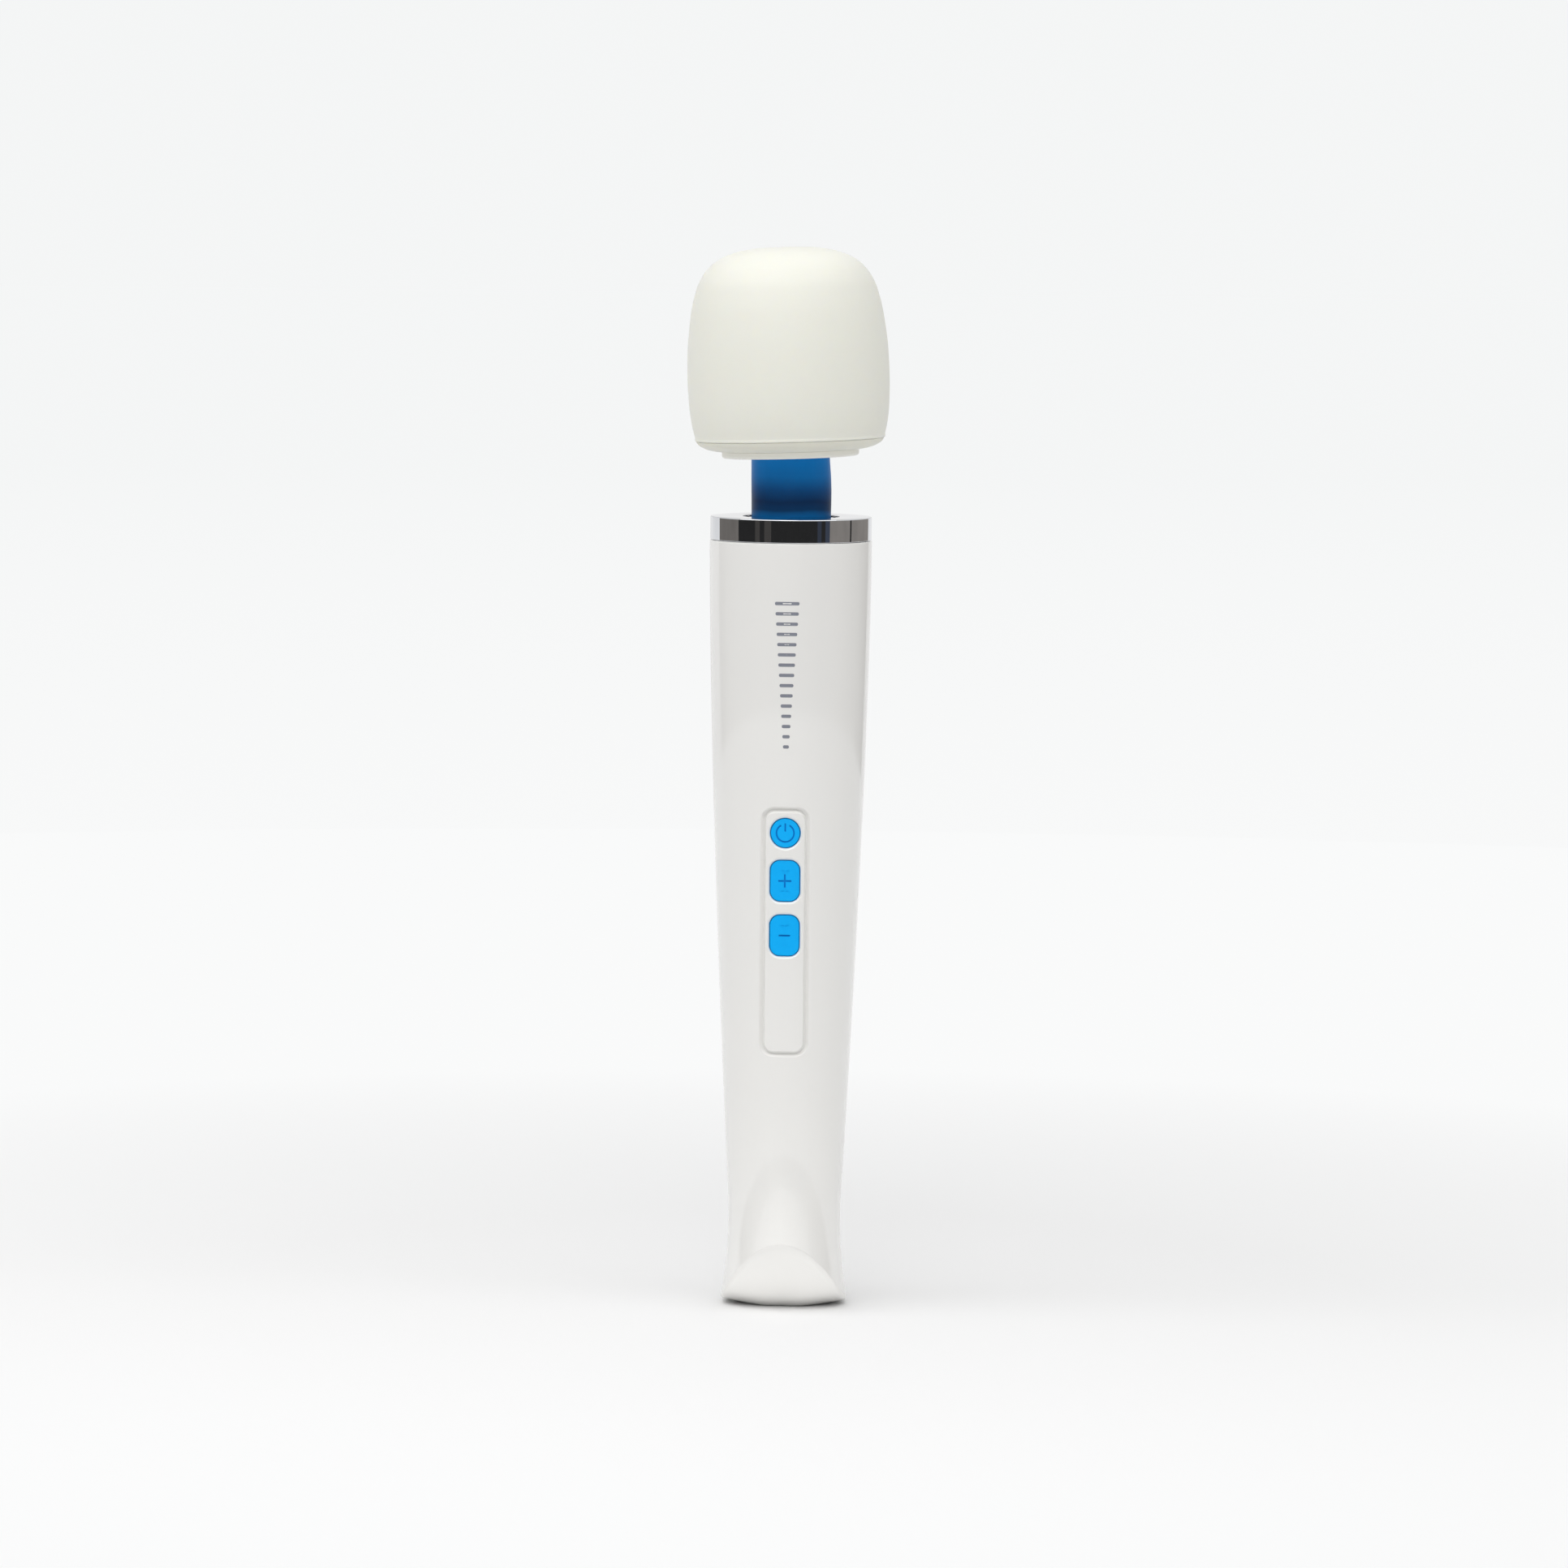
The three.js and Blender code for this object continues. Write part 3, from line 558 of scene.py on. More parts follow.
def shell_grid(front):
    """Angle and height arrays of one half shell, from its left parting line to its right one."""
    fine, shares = shell_columns()
    lower, upper = shell_rows()
    side = 1 if front else -1

    def angle_at(x, z):
        return np.arccos(x / section(side * np.pi / 2, z)[0])

    def angles(z):
        middle = angle_at(fine, z)
        edge_angle = math.asin(PARTING / MEAN_RADIUS)
        outer = middle[-1] + (edge_angle - middle[-1]) * shares
        right = np.concatenate([middle, outer])
        return side * np.concatenate([np.pi - right[::-1], right[1:]])

    rows_a = [angles(z) for z in upper]
    base = rows_a[0]
    start = rim_rise(base) + SEAM_RISE
    rows_z = [start + (STRAIGHT_FROM - start) * t for t in lower] + [np.full_like(base, z) for z in upper]
    return np.array([base] * len(lower) + rows_a), np.array(rows_z)


def half_shell(name, front):
    """One shell as a closed body: fine outside, coarse inside, joined round all four edges."""
    a, z = shell_grid(front)
    point = handle_point(a, z)
    inset = edge_roll(np.abs(point[..., 1]) - PARTING, 0.15) + edge_roll(HANDLE_TOP - z, 0.3)
    if front:
        inset = inset + groove_inset(point[..., 0], z)
    outer = handle_point(a, z, inset)
    rows, columns = a.shape
    keep_rows = np.unique(np.append(np.arange(0, rows, ROW_SKIP), rows - 1))
    keep_columns = np.unique(np.append(np.arange(0, columns, COLUMN_SKIP), columns - 1))
    inner_z = z[np.ix_(keep_rows, keep_columns)]
    inner = handle_point(a[np.ix_(keep_rows, keep_columns)], inner_z, WALL)
    points = np.vstack([outer.reshape(-1, 3), inner.reshape(-1, 3)])
    start = rows * columns
    width = len(keep_columns)
    faces = grid_faces(rows, columns) + grid_faces(len(keep_rows), width, start)
    for line, inner_line in ((0, 0), (rows - 1, len(keep_rows) - 1)):
        for k, (left, right) in enumerate(zip(keep_columns, keep_columns[1:])):
            edge = [line * columns + c for c in range(left, right + 1)]
            faces.append(edge + [start + inner_line * width + k + 1, start + inner_line * width + k])
    for column, inner_column in ((0, 0), (columns - 1, width - 1)):
        for k, (below, above) in enumerate(zip(keep_rows, keep_rows[1:])):
            edge = [r * columns + column for r in range(below, above + 1)]
            faces.append(edge + [start + (k + 1) * width + inner_column, start + k * width + inner_column])
    return mesh_piece(name, None, points, faces, "shell_white")


def outline_points(width, height, corner, grow, count=OUTLINE_POINTS):
    """Points round a rounded rectangle in x and z, grown by grow."""
    half_w, half_h = width / 2 + grow, height / 2 + grow
    radius = min(corner + grow, half_w, half_h)
    corners = [(1, 1, 0), (-1, 1, 1), (-1, -1, 2), (1, -1, 3)]
    points = []
    for sx, sz, quarter in corners:
        for t in np.linspace(0, 1, count // 4):
            angle = (quarter + t) * np.pi / 2
            x = sx * (half_w - radius) + radius * math.cos(angle)
            z = sz * (half_h - radius) + radius * math.sin(angle)
            points.append((x, z))
    return np.array(points)


def rings_mesh(rings):
    """Points and faces of a closed body through equal rings, its ends closed by fans."""
    count = len(rings[0])
    middles = [np.mean(rings[0], 0), np.mean(rings[-1], 0)]
    points = np.vstack([np.vstack(rings), middles])
    faces = grid_faces(len(rings), count, wrap=True)
    top = (len(rings) - 1) * count
    first, last = len(points) - 2, len(points) - 1
    for i in range(count):
        j = (i + 1) % count
        faces.append([first, j, i])
        faces.append([last, top + i, top + j])
    return points, faces


def lipped_cutter(name, width, height, corner, x, z, surface, out):
    """A cutter whose mouth flares like a rounded lip and follows the handle's surface."""
    rings = []
    for depth, grow in LIP:
        ring = outline_points(width, height, corner, grow)
        px, pz = ring[:, 0] + x, ring[:, 1] + z
        py = surface(px, pz, 0.0) - out * depth
        rings.append(np.stack([px, py, pz], -1))
    points, faces = rings_mesh(rings)
    return mesh_piece(name, None, points, faces, "shell_white")


def button_middle(name):
    """The height of a key's middle."""
    low, high = span(name)
    return (low.z + high.z) / 2


def front_shell():
    piece = half_shell("handle_shell_front", True)
    cutters = [
        lipped_cutter(f"cutter_{name}", x=0, z=button_middle(name), surface=front_y, out=-1, **size)
        for name, size in BUTTONS.items()
    ]
    cut(piece, cutters)
    finish_shell(piece, ["front_shell"])


def rear_shell():
    piece = half_shell("handle_shell_rear", False)
    cutters = []
    for name in PLUGS:
        low, high = span(name)
        middle = (low + high) / 2
        hole = (PLUG_HOLE, PLUG_HOLE, PLUG_HOLE / 2)
        cutters.append(lipped_cutter(f"cutter_{name}", *hole, middle.x, middle.z, back_y, 1))
    cut(piece, cutters)
    finish_shell(piece, ["rear_shell"])


def finish_shell(piece, nodes):
    """Smooth shading with crisp edges after the cuts, and the piece's place on the handle."""
    piece.data.shade_smooth()
    piece.data.set_sharp_from_angle(angle=math.radians(38))
    place(piece, "handle", "shell_white", nodes)


def foot_cap():
    """The foot's underside, its rounded rim and the mouth of the power inlet."""
    angles = np.linspace(0, 2 * np.pi, 240, endpoint=False)
    rim = rim_rise(angles)
    above = handle_point(angles, rim + SEAM_RISE - HAIRLINE)
    corner = handle_point(angles, rim)
    inside = sole_point(angles, 0.945)
    rings = [handle_point(angles, rim + SEAM_RISE - HAIRLINE, 2.0), above]
    for t in np.linspace(0, 1, 9)[1:]:
        rings.append((1 - t) ** 2 * above + 2 * t * (1 - t) * corner + t**2 * inside)
    rings += [sole_point(angles, share) for share in np.linspace(0.92, 0.06, 44)]
    thick = [sole_point(angles, share) + [0, 0, SOLE_THICKNESS] for share in (0.06, 0.5, 0.86)]
    count = len(angles)
    points = np.vstack(rings + thick)
    faces = grid_faces(len(rings), count, wrap=True)
    base = len(rings) * count
    faces += grid_faces(len(thick), count, base, wrap=True)
    last_sole = (len(rings) - 1) * count
    for i in range(count):
        j = (i + 1) % count
        faces.append([i, j, base + 2 * count + j, base + 2 * count + i])
    faces.append([last_sole + i for i in range(count)])
    faces.append([base + i for i in range(count)][::-1])
    piece = mesh_piece("foot_cap_sole", None, points, faces, "shell_white")
    inlet = (span("inlet_socket")[0] + span("inlet_socket")[1]) / 2
    hole, hole_faces = turned(filleted(INLET_MOUTH), 64)
    cutter = mesh_piece("cutter_inlet", None, hole + [0, inlet.y, 0], hole_faces, "shell_white")
    cut(piece, [cutter])
    finish_shell(piece, ["foot_cap"])


def plug_pieces():
    """The four press-in plugs over the shell screws."""
    for name in PLUGS:
        low, high = span(name)
        middle = (low + high) / 2
        rings = []
        for inset, grow in PLUG_EDGE:
            ring = outline_points(PLUG_WIDTH, PLUG_WIDTH, PLUG_WIDTH / 2, grow, 48)
            px, pz = ring[:, 0] + middle.x, ring[:, 1] + middle.z
            rings.append(np.stack([px, back_y(px, pz, inset), pz], -1))
        points, faces = rings_mesh(rings)
        mesh_piece(f"{name}_cap", "handle", points, faces, "plug_white", [name])


# ---------- trim ring ----------
def trim_ring():
    """The chrome ring, with a skirt that goes down into the shells."""
    bottom = span("trim_ring")[0].z
    outer, inner = RING_SKIRT
    outline = filleted(
        [
            [RING_BORE, RING_LEDGE, 0], [RING_BORE, RING_TOP, 0.15],
            [RING_RADIUS, RING_TOP, 0.32], [RING_RADIUS, RING_FOOT, 0.15],
            [outer, RING_FOOT, 0], [outer, bottom, 0], [inner, bottom, 0], [inner, RING_LEDGE, 0],
        ],
        7,
    )  # fmt: skip
    points, faces = turned(outline, 192)
    mesh_piece("chrome_trim_ring", "handle", points, faces, "chrome_ring", ["trim_ring"], 30)


# ---------- buttons ----------
def rounded_bar(half_x, half_z, radius, steps):
    """The outline of an upright rectangle with rounded corners."""
    corners = [(-half_x, -half_z), (half_x, -half_z), (half_x, half_z), (-half_x, half_z)]
    return filleted([[x, z, radius] for x, z in corners], steps)


def engraving_cutters(name, z):
    """Closed bodies that cut the button's sign into its face."""

    def stroke(points_2d):
        rings = []
        for inset in (BUTTON_RECESS - 1.0, BUTTON_RECESS + SIGN_DEPTH):
            p = np.asarray(points_2d)
            rings.append(np.stack([p[:, 0], front_y(p[:, 0], p[:, 1] + z, inset), p[:, 1] + z], -1))
        count = len(points_2d)
        faces = grid_faces(2, count, wrap=True)
        faces += [list(range(count))[::-1], list(range(count, 2 * count))]
        # The cut faces of the strokes take the darker sign blue, which is painted shade.
        return mesh_piece(f"stroke_{name}", None, np.vstack(rings), faces, "button_sign")

    def bar(half_x, half_z, z_offset=0.0):
        return stroke(rounded_bar(half_x, half_z, 0.15, 3) + [0, z_offset])

    if name == "minus_button":
        return [bar(1.75, 0.27)]
    if name == "plus_button":
        arm, thick = 2.0, 0.27
        cross = [(thick, arm), (thick, thick), (arm, thick), (arm, -thick), (thick, -thick), (thick, -arm)]
        cross += [(-x, -y) for x, y in cross]
        return [stroke(np.array(cross))]
    gap, outer, inner = math.radians(28), 2.9, 2.42
    sweep = np.linspace(np.pi / 2 + gap, 2.5 * np.pi - gap, 48)
    arc = [(outer * math.cos(t), outer * math.sin(t)) for t in sweep]
    arc += [(inner * math.cos(t), inner * math.sin(t)) for t in sweep[::-1]]
    return [stroke(np.array(arc)), bar(0.24, 1.25, 1.75)]


def button(name, size):
    """A soft key: its face follows the handle just below the surface, over a flange and a stem."""
    z = button_middle(name)
    rear, front, wide = KEY_FLANGE["rear"], KEY_FLANGE["front"], KEY_FLANGE["grow"]
    turn = np.linspace(0, 2 * np.pi, OUTLINE_POINTS, endpoint=False)
    stem = KEY_STEM_RADIUS * np.stack([np.cos(turn), 0 * turn, np.sin(turn)], -1)
    rings = [stem + [0, y, z] for y in (span(name)[1].y, rear)]
    for y, grow in ((rear, wide), (front, wide), (front, -KEY_GAP)):
        ring = outline_points(grow=grow, **size)
        rings.append(np.stack([ring[:, 0], 0 * ring[:, 0] + y, ring[:, 1] + z], -1))
    for inset, grow in KEY_EDGE:
        rings.append(face_ring(size, grow, z, inset))
    reach = min(size["width"], size["height"]) / 2
    for grow in np.linspace(-0.9, -reach + 0.25, 14):
        rings.append(face_ring(size, grow, z, BUTTON_RECESS))
    points, faces = rings_mesh(rings)
    piece = mesh_piece(name.replace("button", "key"), None, points, faces, "button_blue")
    cut(piece, engraving_cutters(name, z))
    piece.data.shade_smooth()
    piece.data.set_sharp_from_angle(angle=math.radians(35))
    place(piece, name, "button_blue", [name])


def face_ring(size, grow, z, inset):
    """A key's outline at a depth below the handle's surface."""
    ring = outline_points(grow=grow, **size)
    return np.stack([ring[:, 0], front_y(ring[:, 0], ring[:, 1] + z, inset), ring[:, 1] + z], -1)


# ---------- printed strength scale ----------
def strength_scale():
    """Short dashes that widen upwards, printed above the buttons."""
    all_points, all_faces = [], []
    for i in range(SCALE["dashes"]):
        z = SCALE["z"] + SCALE["step"] * i
        ring = rounded_bar(SCALE["half"] + SCALE["widen"] * i, SCALE["thick"] / 2, 0.45, 5)
        ring = np.vstack([np.linspace(a, b, 5)[:-1] for a, b in zip(ring, np.roll(ring, -1, 0))])
        rings = []
        for inset, share in ((0.02, 1.0), (-0.03, 1.0), (-0.03, 0.5)):
            x, pz = ring[:, 0] * share, ring[:, 1] * share + z
            rings.append(np.stack([x, front_y(x, pz, inset), pz], -1))
        points, faces = rings_mesh(rings)
        offset = sum(len(p) for p in all_points)
        all_points.append(points)
        all_faces += [[v + offset for v in face] for face in faces]
    mesh_piece("strength_scale_print", "handle", np.vstack(all_points), all_faces, "print_grey")


# ---------- neck ----------
def neck_pieces():
    """Two halves of the elastomer sleeve that meet at the height where the neck tilts."""
    low = span("neck_sleeve")[0]
    pivot = NECK_PIVOT.z
    flange = [[NECK_BORE, low.z], [19.0, low.z], [19.0, 223.7], [11.7, 223.7]]
    belly = smooth_curve([[11.75, 236], [12.02, 240], [12.15, 245], [NECK_RADIUS, pivot]], 8)
    bore = np.linspace([NECK_BORE, pivot], [NECK_BORE, low.z], 16)[:-1]
    outline = np.vstack([flange, belly, bore])
    neck_half("neck_sleeve_lower", outline, ["neck_sleeve"])
    belly = smooth_curve([[NECK_RADIUS, pivot], [12.15, 254], [12.0, 258], [11.9, 262.4]], 8)
    flange = [[16.2, 263.0], [16.2, 265.6], [NECK_BORE, 265.6]]
    bore = np.linspace([NECK_BORE, 264], [NECK_BORE, pivot], 14)
    outline = np.vstack([belly, flange, bore])
    neck_half("neck_sleeve_upper", outline, ["neck_sleeve"])


def neck_half(name, outline, nodes):
    """Half of the sleeve: it leans with the head at rest."""
    points, faces = turned(outline, 160)
    share = np.clip((points[:, 2] - LEAN_FROM) / LEAN_OVER, 0, 1)
    share = (share * share * (3 - 2 * share))[:, None]
    points = points * (1 - share) + leaned(points) * share
    piece = mesh_piece(name, None, points, faces, "neck_blue")
    height = np.array([v.co.z / MM for v in piece.data.vertices])
    height = np.clip((height - RING_TOP + 2) / (NECK_TOP - RING_TOP + 2), 0, 1)
    attribute = piece.data.attributes.new("rest_height", "FLOAT", "POINT")
    attribute.data.foreach_set("value", height.astype(np.float32))
    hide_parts(*nodes)
    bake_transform(piece)


# ---------- head ----------
def head_cushion():
    """The silicone cap: barrel sides, a rounded shoulder and a low dome, hollow over the core."""
    outside = smooth_curve(
        [
            [28.95, 265.85], [28.98, 266.3], [28.98, 266.9], [29.75, 270.4], [30.45, 276.0],
            [30.75, 284.5], [30.4, 294.5], [29.25, 304.0], [27.9, 309.9], [26.4, 314.0],
            [23.6, 318.0], [20.0, 320.75], [15.0, 322.65], [8.5, 323.75], [0.0, 324.05],
        ],
        7,
    )  # fmt: skip
    rim = [[27.6, 265.6], [28.5, 265.62], [28.8, 265.7]]
    hollow = [[0.0, 319.4], [12.7, 318.0], [20.8, 313.3], [24.6, 306.6], [26.1, 298.0], [26.6, 285.0]]
    inside = smooth_curve(hollow, 4)
    outline = np.vstack([rim, outside, inside, [[26.6, 265.6]]])
    points, faces = turned(outline, 160)
    piece = mesh_piece(
        "head_silicone_cushion", "head", leaned(points), faces, "cushion_silicone", ["head_cushion"], 50
    )


def head_underside():
    """The rounded silicone underside and the off-white disc below it."""
    base = filleted(
        [
            [19.4, 262.3, 0.3], [21.8, 262.3, 1.0], [25.4, 263.0, 2.0], [28.0, 264.4, 1.4],
            [28.62, 265.58, 0.2], [26.2, 265.58, 0.0], [26.2, 265.7, 0.0], [19.4, 265.7, 0.0],
        ],
        8,
    )  # fmt: skip
    points, faces = turned(base, 160)
    mesh_piece("head_silicone_base", "head", leaned(points), faces, "base_silicone", ["head_base_ring"], 50)
    collar = filleted(
        [
            [12.7, 260.3, 0.3], [20.9, 260.3, 1.2], [20.9, 262.26, 0.1], [19.1, 262.26, 0.0],
            [19.1, 265.3, 0.0], [16.5, 265.3, 0.0], [16.5, 262.6, 0.0], [12.7, 262.6, 0.2],
        ],
        6,
    )  # fmt: skip
    points, faces = turned(collar, 160)
    disc = mesh_piece("head_collar_disc", None, leaned(points), faces, "collar_white")
    cut(disc, [screw_well(name) for name in frame["nodes"] if name.startswith("head_screw")])
    disc.data.shade_smooth()
    disc.data.set_sharp_from_angle(angle=math.radians(40))
    place(disc, "head", "collar_white", ["head_collar"])


def screw_well(name):
    """A cutter for the round well that a head screw sits in, open to below."""
    low, high = span(name)
    pivot = np.array(NECK_PIVOT)
    middle = (np.array((low + high) / 2) - pivot) @ np.array(HEAD_TURN) + pivot
    radius, bottom, top = SCREW_WELL["radius"], SCREW_WELL["from"], SCREW_WELL["to"]
    points, faces = turned([[0.0, bottom], [radius, bottom], [radius, top], [0.0, top]], 32)
    points = leaned(points + [middle[0], middle[1], 0])
    return mesh_piece(f"cutter_{name}", None, points, faces, "collar_white")


# ---------- drive spring ----------
def coil(name, body, low, high, place_points, nodes):
    """Half of the coil spring, as a swept round wire."""
    radius, wire, pitch = COIL["radius"], COIL["wire"], COIL["pitch"]
    turns = (high - low) / pitch
    t = np.linspace(0, 1, int(turns * 28))
    start = (low - COIL["zero"]) / pitch
    angle = 2 * np.pi * (start + turns * t)
    centre = np.stack([radius * np.cos(angle), radius * np.sin(angle), low + (high - low) * t], -1)
    along = np.gradient(centre, axis=0)
    along /= np.linalg.norm(along, axis=1, keepdims=True)
    out = np.stack([np.cos(angle), np.sin(angle), 0 * angle], -1)
    side = np.cross(along, out)
    rings = []
    around = np.linspace(0, 2 * np.pi, 12, endpoint=False)
    for c, o, s in zip(centre, out, side):
        rings.append(c + wire * (np.cos(around)[:, None] * o + np.sin(around)[:, None] * s))
    points, faces = rings_mesh(rings)
    mesh_piece(name, body, place_points(points), faces, "spring_steel", nodes)


def spring_pieces():
    """The lower half of the spring turns with the rotor, and the upper half with the eccentric."""
    bottom = span("drive_spring")[0].z + 0.7
    pivot = NECK_PIVOT.z
    coil("drive_spring_lower", "rotor", bottom, pivot, np.asarray, ["drive_spring"])
    coil("drive_spring_upper", "eccentric", pivot, COIL["top"], leaned, ["drive_spring"])


# ---------- CAD nodes that stay ----------
def finish_cad_nodes():
    """Gives every node that stays its finish, and smooth shading with crisp edges."""
    slots = {part["node"]: part["material_slot"] for part in frame["record"]["subparts"]}
    for name, piece in frame["nodes"].items():
        piece.data.materials.clear()
        piece.data.materials.append(MATERIALS[slots[name]])
        piece.data.shade_smooth()
        weld = piece.modifiers.new("weld", "WELD")
        weld.merge_threshold = 1e-6
        split = piece.modifiers.new("crisp edges", "EDGE_SPLIT")
        split.split_angle = math.radians(35)


# ---------- stage, lights and camera ----------
CAMERA_DISTANCE = 2.0
CAMERA_HEIGHT = 0.341
CAMERA_AZIMUTH = math.radians(2.2)
CAMERA_ROLL = math.radians(0.56)
AIM = Vector((-0.0014, 0.0, 0.1602))
FRAME_WIDTH = 0.4796  # what the picture's width spans at the object
SENSOR = 36
TABLE_RADIUS = 0.15  # the table top round the object
PAPER_REACH = 6.0  # the paper's tones change over this distance from the object
CIRCLE_POINTS = 96
PAPER = (0.885, 0.885, 0.885, 1.0)
GLOW = (0.93, 0.935, 0.935, 1.0)
FLOOR_RADIUS = 20.0
BACKDROP = (0.89, 0.9, 0.9, 1.0)
BELOW, HORIZON, ZENITH = (0.78, 0.78, 0.78, 1.0), (0.1, 0.1, 0.1, 1.0), (0.95, 0.95, 0.95, 1.0)
WARM, COOL, PLAIN = (1.0, 0.92, 0.84), (0.6, 0.8, 1.3), (1.0, 1.0, 1.0)
# Cards that stand round the object and show only in gloss, as in a product studio:
# degrees to the right of the camera where each starts and ends, its brightness and its tint
CARDS = [
    (-121, -78, 0.17, WARM), (-78, -50, 0.006, PLAIN), (-50, -43, 0.05, WARM), (-43, -36, 0.006, PLAIN),
    (-36, -26, 0.05, WARM), (-26, 40, 0.006, PLAIN), (40, 46, 0.04, COOL), (46, 52, 0.008, PLAIN),
    (52, 59, 0.06, COOL), (59, 95, 0.26, WARM), (95, 98, 0.006, PLAIN), (98, 146, 0.27, WARM),
    (146, 239, 0.92, PLAIN),
]  # fmt: skip
SOFTBOX_SIZE = (1.7, 0.6)
SOFTBOX_DISTANCE = 1.2
BOUNCE_SIDE = 0.16  # a small light on the floor before the foot
BOUNCE_GAP = 0.012
BOUNCE_ENERGY = 0.02
LIT_HEIGHT = 0.25  # the softboxes are aimed at this height
CARD_DISTANCE = 1.5
CARD_HEIGHT = 0.36
UPPER_CARD = {"top": 1.8, "brightness": 0.8}  # one ring of cloth above the cards


def floor_paper():
    """Paper that takes light and shadow round the object and is lit from below further out."""
    made = Material("floor_paper", 0.9, Specular_IOR_Level=0.1)
    place = made.node("ShaderNodeTexCoord")
    length = made.node("ShaderNodeVectorMath", operation="LENGTH")
    made.link(place.outputs["Object"], length.inputs[0])
    reach = made.node("ShaderNodeMath", operation="MULTIPLY")
    reach.inputs[1].default_value = 1 / PAPER_REACH
    made.link(length.outputs["Value"], reach.inputs[0])
    black = (0, 0, 0, 1)
    lit = made.ramp(reach.outputs["Value"], [(0.03, PAPER), (0.09, black)])
    made.link(lit, made.shader.inputs["Base Color"])
    glow = made.ramp(reach.outputs["Value"], [(0.03, black), (0.09, GLOW), (1.0, BACKDROP)])
    made.link(glow, made.shader.inputs["Emission Color"])
    made.shader.inputs["Emission Strength"].default_value = 1.0
    return made.data


def backdrop_paper():
    """The even tone behind everything."""
    made = Material("backdrop_paper", 0.9)
    made.shader.inputs["Base Color"].default_value = (0, 0, 0, 1)
    tone = made.ramp(made.noise(0.05, detail=1), [(0.0, BACKDROP), (1.0, shade(BACKDROP, 1.01))])
    made.link(tone, made.shader.inputs["Emission Color"])
    made.shader.inputs["Emission Strength"].default_value = 1.0
    return made.data


def stage_mesh(name, points, faces, material):
    """A mesh in metres that belongs to the stage."""
    mesh = bpy.data.meshes.new(name)
    mesh.from_pydata(np.asarray(points).tolist(), [], faces)
    mesh.materials.append(material)
    made = bpy.data.objects.new(name, mesh)
    bpy.context.scene.collection.objects.link(made)
    return made


def circle(radius, height=0.0):
    """Points round a level circle."""
    turn = np.linspace(0, 2 * np.pi, CIRCLE_POINTS, endpoint=False)
    return np.stack([radius * np.cos(turn), radius * np.sin(turn), 0 * turn + height], -1)


def make_stage():
    """A table top that throws light back at the object, a far floor that camera and gloss see, and a
    backdrop that only the camera sees."""
    paper = floor_paper()
    stage_mesh("table_top", circle(TABLE_RADIUS), [list(range(CIRCLE_POINTS))], paper)
    rings = [circle(TABLE_RADIUS), circle(FLOOR_RADIUS)]
    far = stage_mesh("far_floor", np.vstack(rings), grid_faces(2, CIRCLE_POINTS, wrap=True), paper)
    turns = np.linspace(0, np.pi / 2, 12, endpoint=False)
    dome = [circle(FLOOR_RADIUS * math.cos(t), FLOOR_RADIUS * math.sin(t)) for t in turns]
    faces = grid_faces(len(dome), CIRCLE_POINTS, wrap=True)
    sky = stage_mesh("backdrop", np.vstack(dome), faces, backdrop_paper())
    far.visible_diffuse = far.visible_shadow = False
    sky.visible_diffuse = sky.visible_glossy = sky.visible_shadow = False


def card_material(name, brightness, tint):
    """A card's tone, slightly uneven as cloth is."""
    made = Material(name, 0.9)
    made.shader.inputs["Base Color"].default_value = (0, 0, 0, 1)
    low, high = shade(tint, brightness * 0.85), shade(tint, brightness)
    tone = made.ramp(made.noise(3, detail=1), [(NOISE_LOW, low), (NOISE_HIGH, high)])
    made.link(tone, made.shader.inputs["Emission Color"])
    made.shader.inputs["Emission Strength"].default_value = 1.0
    return made.data


def gloss_card(name, left, right, heights, brightness, tint):
    """A curved card from left to right degrees, which only glossy surfaces show."""
    turn = np.radians(np.linspace(left, right, max(12, int((right - left) / 5))))
    curve = np.stack([np.sin(turn), -np.cos(turn), 0 * turn], -1) * CARD_DISTANCE
    rings = [curve + [0, 0, height] for height in heights]
    material = card_material(name, brightness, tint)
    card = stage_mesh(name, np.vstack(rings), grid_faces(2, len(turn)), material)
    card.visible_camera = card.visible_diffuse = card.visible_shadow = card.visible_transmission = False


def make_cards():
    """The cards round the object, and a bright one above them."""
    for i, (left, right, brightness, tint) in enumerate(CARDS):
        gloss_card(f"card_{i}", left, right, (0, CARD_HEIGHT), brightness, tint)
    gloss_card("card_upper", 0, 360, (CARD_HEIGHT, UPPER_CARD["top"]), UPPER_CARD["brightness"], PLAIN)


def make_world():
    """Soft light from all round, stronger from above."""
    world = bpy.data.worlds.new("studio")
    bpy.context.scene.world = world
    world.use_nodes = True
    nodes, links = world.node_tree.nodes, world.node_tree.links
    background = nodes["Background"]
    place = nodes.new("ShaderNodeTexCoord")
    split = nodes.new("ShaderNodeSeparateXYZ")
    links.new(place.outputs["Generated"], split.inputs["Vector"])
    height = nodes.new("ShaderNodeMapRange")
    height.inputs["From Min"].default_value = -1.0
    links.new(split.outputs["Z"], height.inputs["Value"])
    sky = nodes.new("ShaderNodeValToRGB")
    sky.color_ramp.elements[0].color = BELOW
    sky.color_ramp.elements[1].color = ZENITH
    sky.color_ramp.elements.new(0.49).color = BELOW
    sky.color_ramp.elements.new(0.5).color = HORIZON
    links.new(height.outputs["Result"], sky.inputs["Fac"])
    links.new(sky.outputs["Color"], background.inputs["Color"])
    background.inputs["Strength"].default_value = 1.0


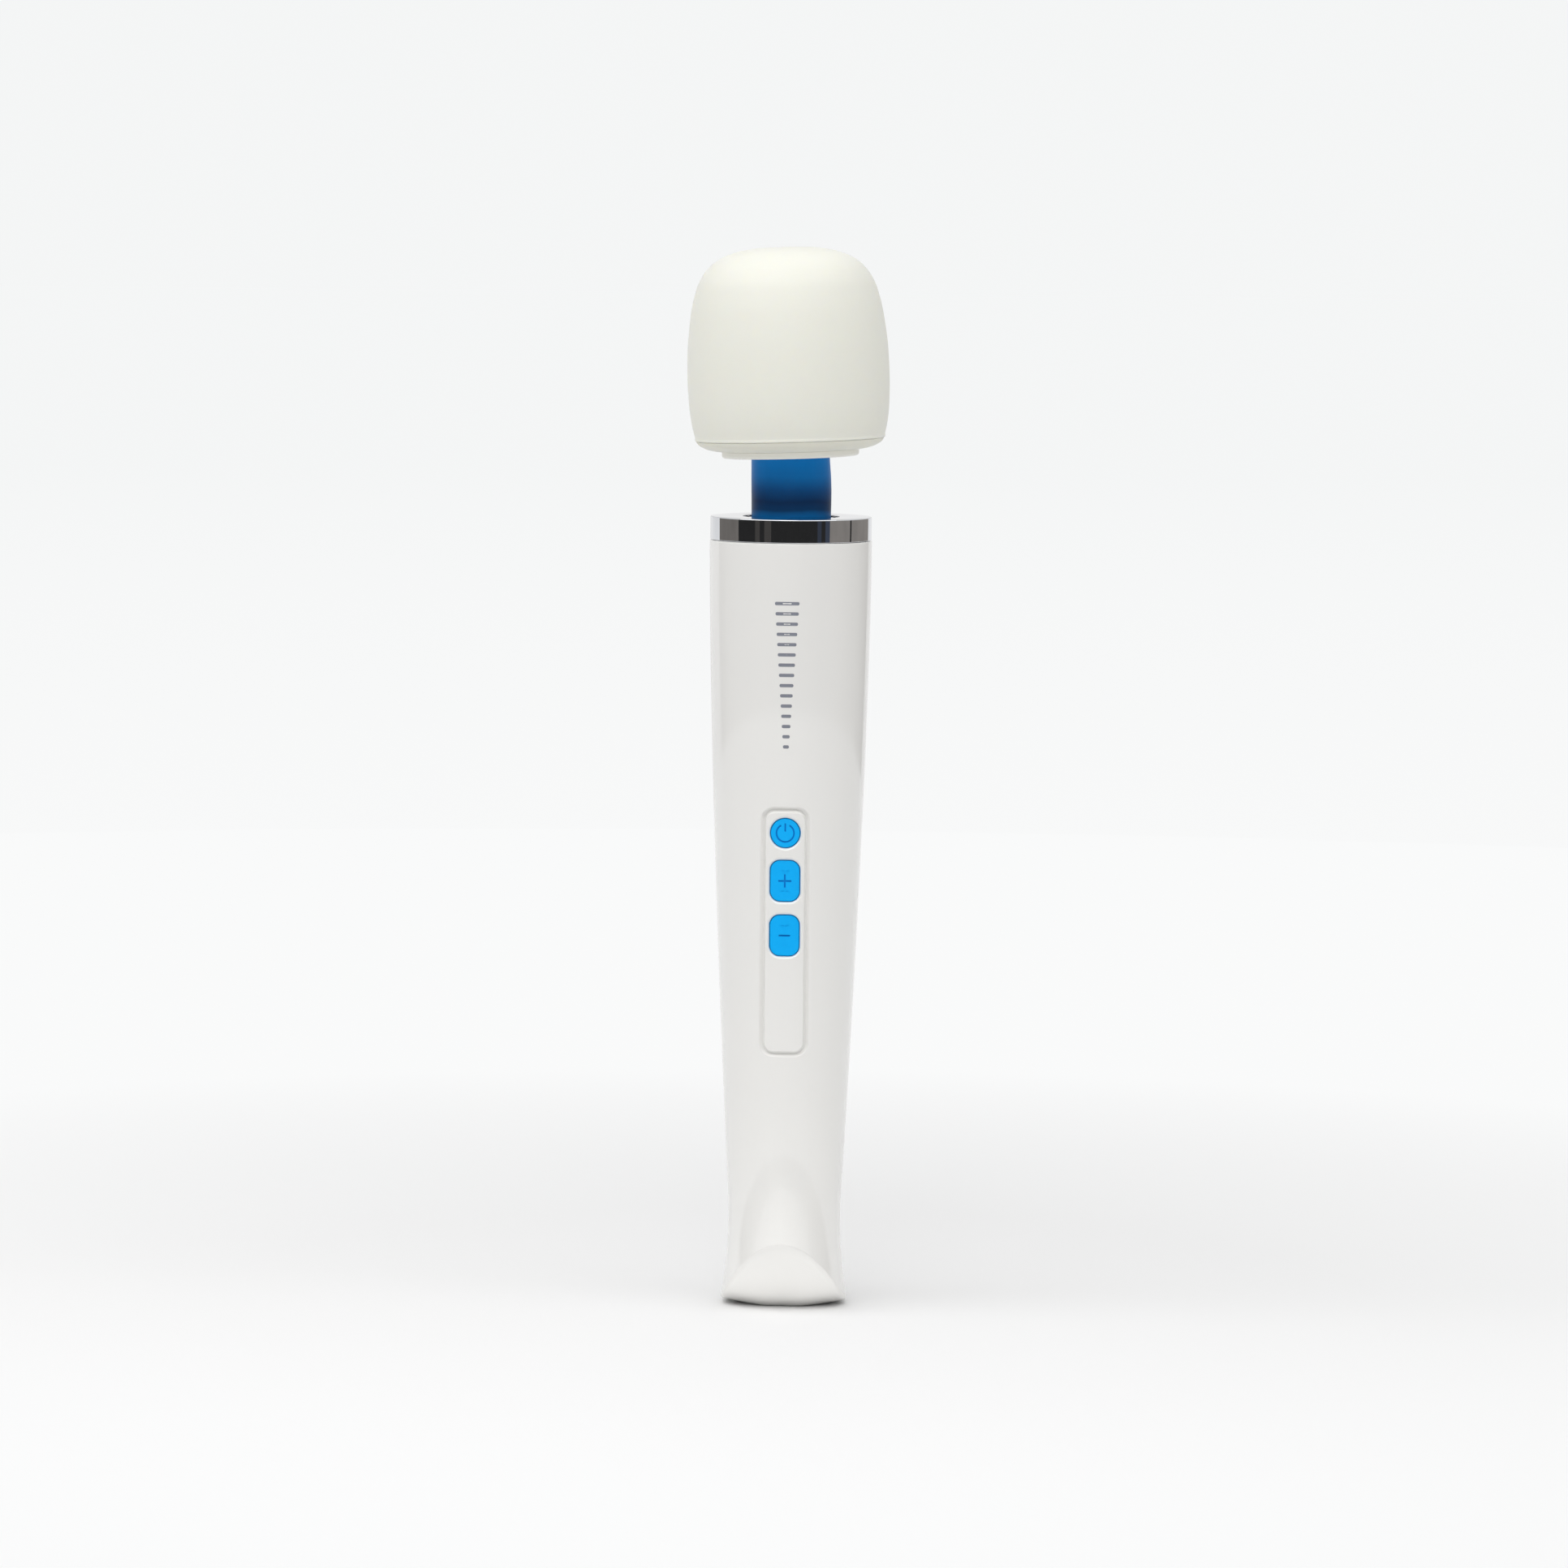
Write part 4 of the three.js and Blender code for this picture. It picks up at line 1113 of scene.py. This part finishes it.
def softbox(name, azimuth, elevation, energy):
    """A wide light aimed at the object; azimuth is degrees to the right of the camera."""
    data = bpy.data.lights.new(name, "AREA")
    data.energy = energy
    data.shape = "RECTANGLE"
    data.size, data.size_y = SOFTBOX_SIZE
    light = bpy.data.objects.new(name, data)
    a, e = math.radians(azimuth), math.radians(elevation)
    towards = Vector((math.sin(a) * math.cos(e), -math.cos(a) * math.cos(e), math.sin(e)))
    light.location = Vector((0, 0, LIT_HEIGHT)) + towards * SOFTBOX_DISTANCE
    light.rotation_euler = towards.to_track_quat("Z", "Y").to_euler()
    bpy.context.scene.collection.objects.link(light)


def make_lights():
    """Two softboxes from above, and the light that white paper throws up under the toe."""
    softbox("key_left", -42, 50, 6.7)
    softbox("fill_right", 34, 49, 4.2)
    data = bpy.data.lights.new("bounce_card", "AREA")
    data.energy = BOUNCE_ENERGY
    data.size = BOUNCE_SIDE
    light = bpy.data.objects.new("bounce_card", data)
    light.location = (0, -BOUNCE_SIDE / 2 - BOUNCE_GAP, 0.001)
    light.rotation_euler = (math.pi, 0, 0)
    light.visible_camera = light.visible_glossy = False
    bpy.context.scene.collection.objects.link(light)


def make_camera():
    """A long lens, slightly to the right of the front and above it."""
    data = bpy.data.cameras.new("camera")
    camera = bpy.data.objects.new("camera", data)
    bpy.context.scene.collection.objects.link(camera)
    place = Vector((math.sin(CAMERA_AZIMUTH), -math.cos(CAMERA_AZIMUTH), 0)) * CAMERA_DISTANCE
    place.z = CAMERA_HEIGHT
    look = (AIM - place).to_track_quat("-Z", "Y").to_matrix()
    roll = Matrix.Rotation(CAMERA_ROLL, 3, "Z")
    camera.matrix_world = Matrix.Translation(place) @ (look @ roll).to_4x4()
    data.sensor_width = SENSOR
    data.lens = SENSOR * (AIM - place).length / FRAME_WIDTH
    data.clip_end = 200
    data.dof.use_dof = False
    bpy.context.scene.camera = camera


def colour_management():
    settings = bpy.context.scene.view_settings
    settings.view_transform = "Standard"
    settings.look = "None"
    settings.exposure = 0.0


finish_cad_nodes()
front_shell()
rear_shell()
foot_cap()
plug_pieces()
trim_ring()
for button_name, button_size in BUTTONS.items():
    button(button_name, button_size)
strength_scale()
neck_pieces()
head_cushion()
head_underside()
spring_pieces()
make_stage()
make_cards()
make_world()
make_lights()
make_camera()
colour_management()
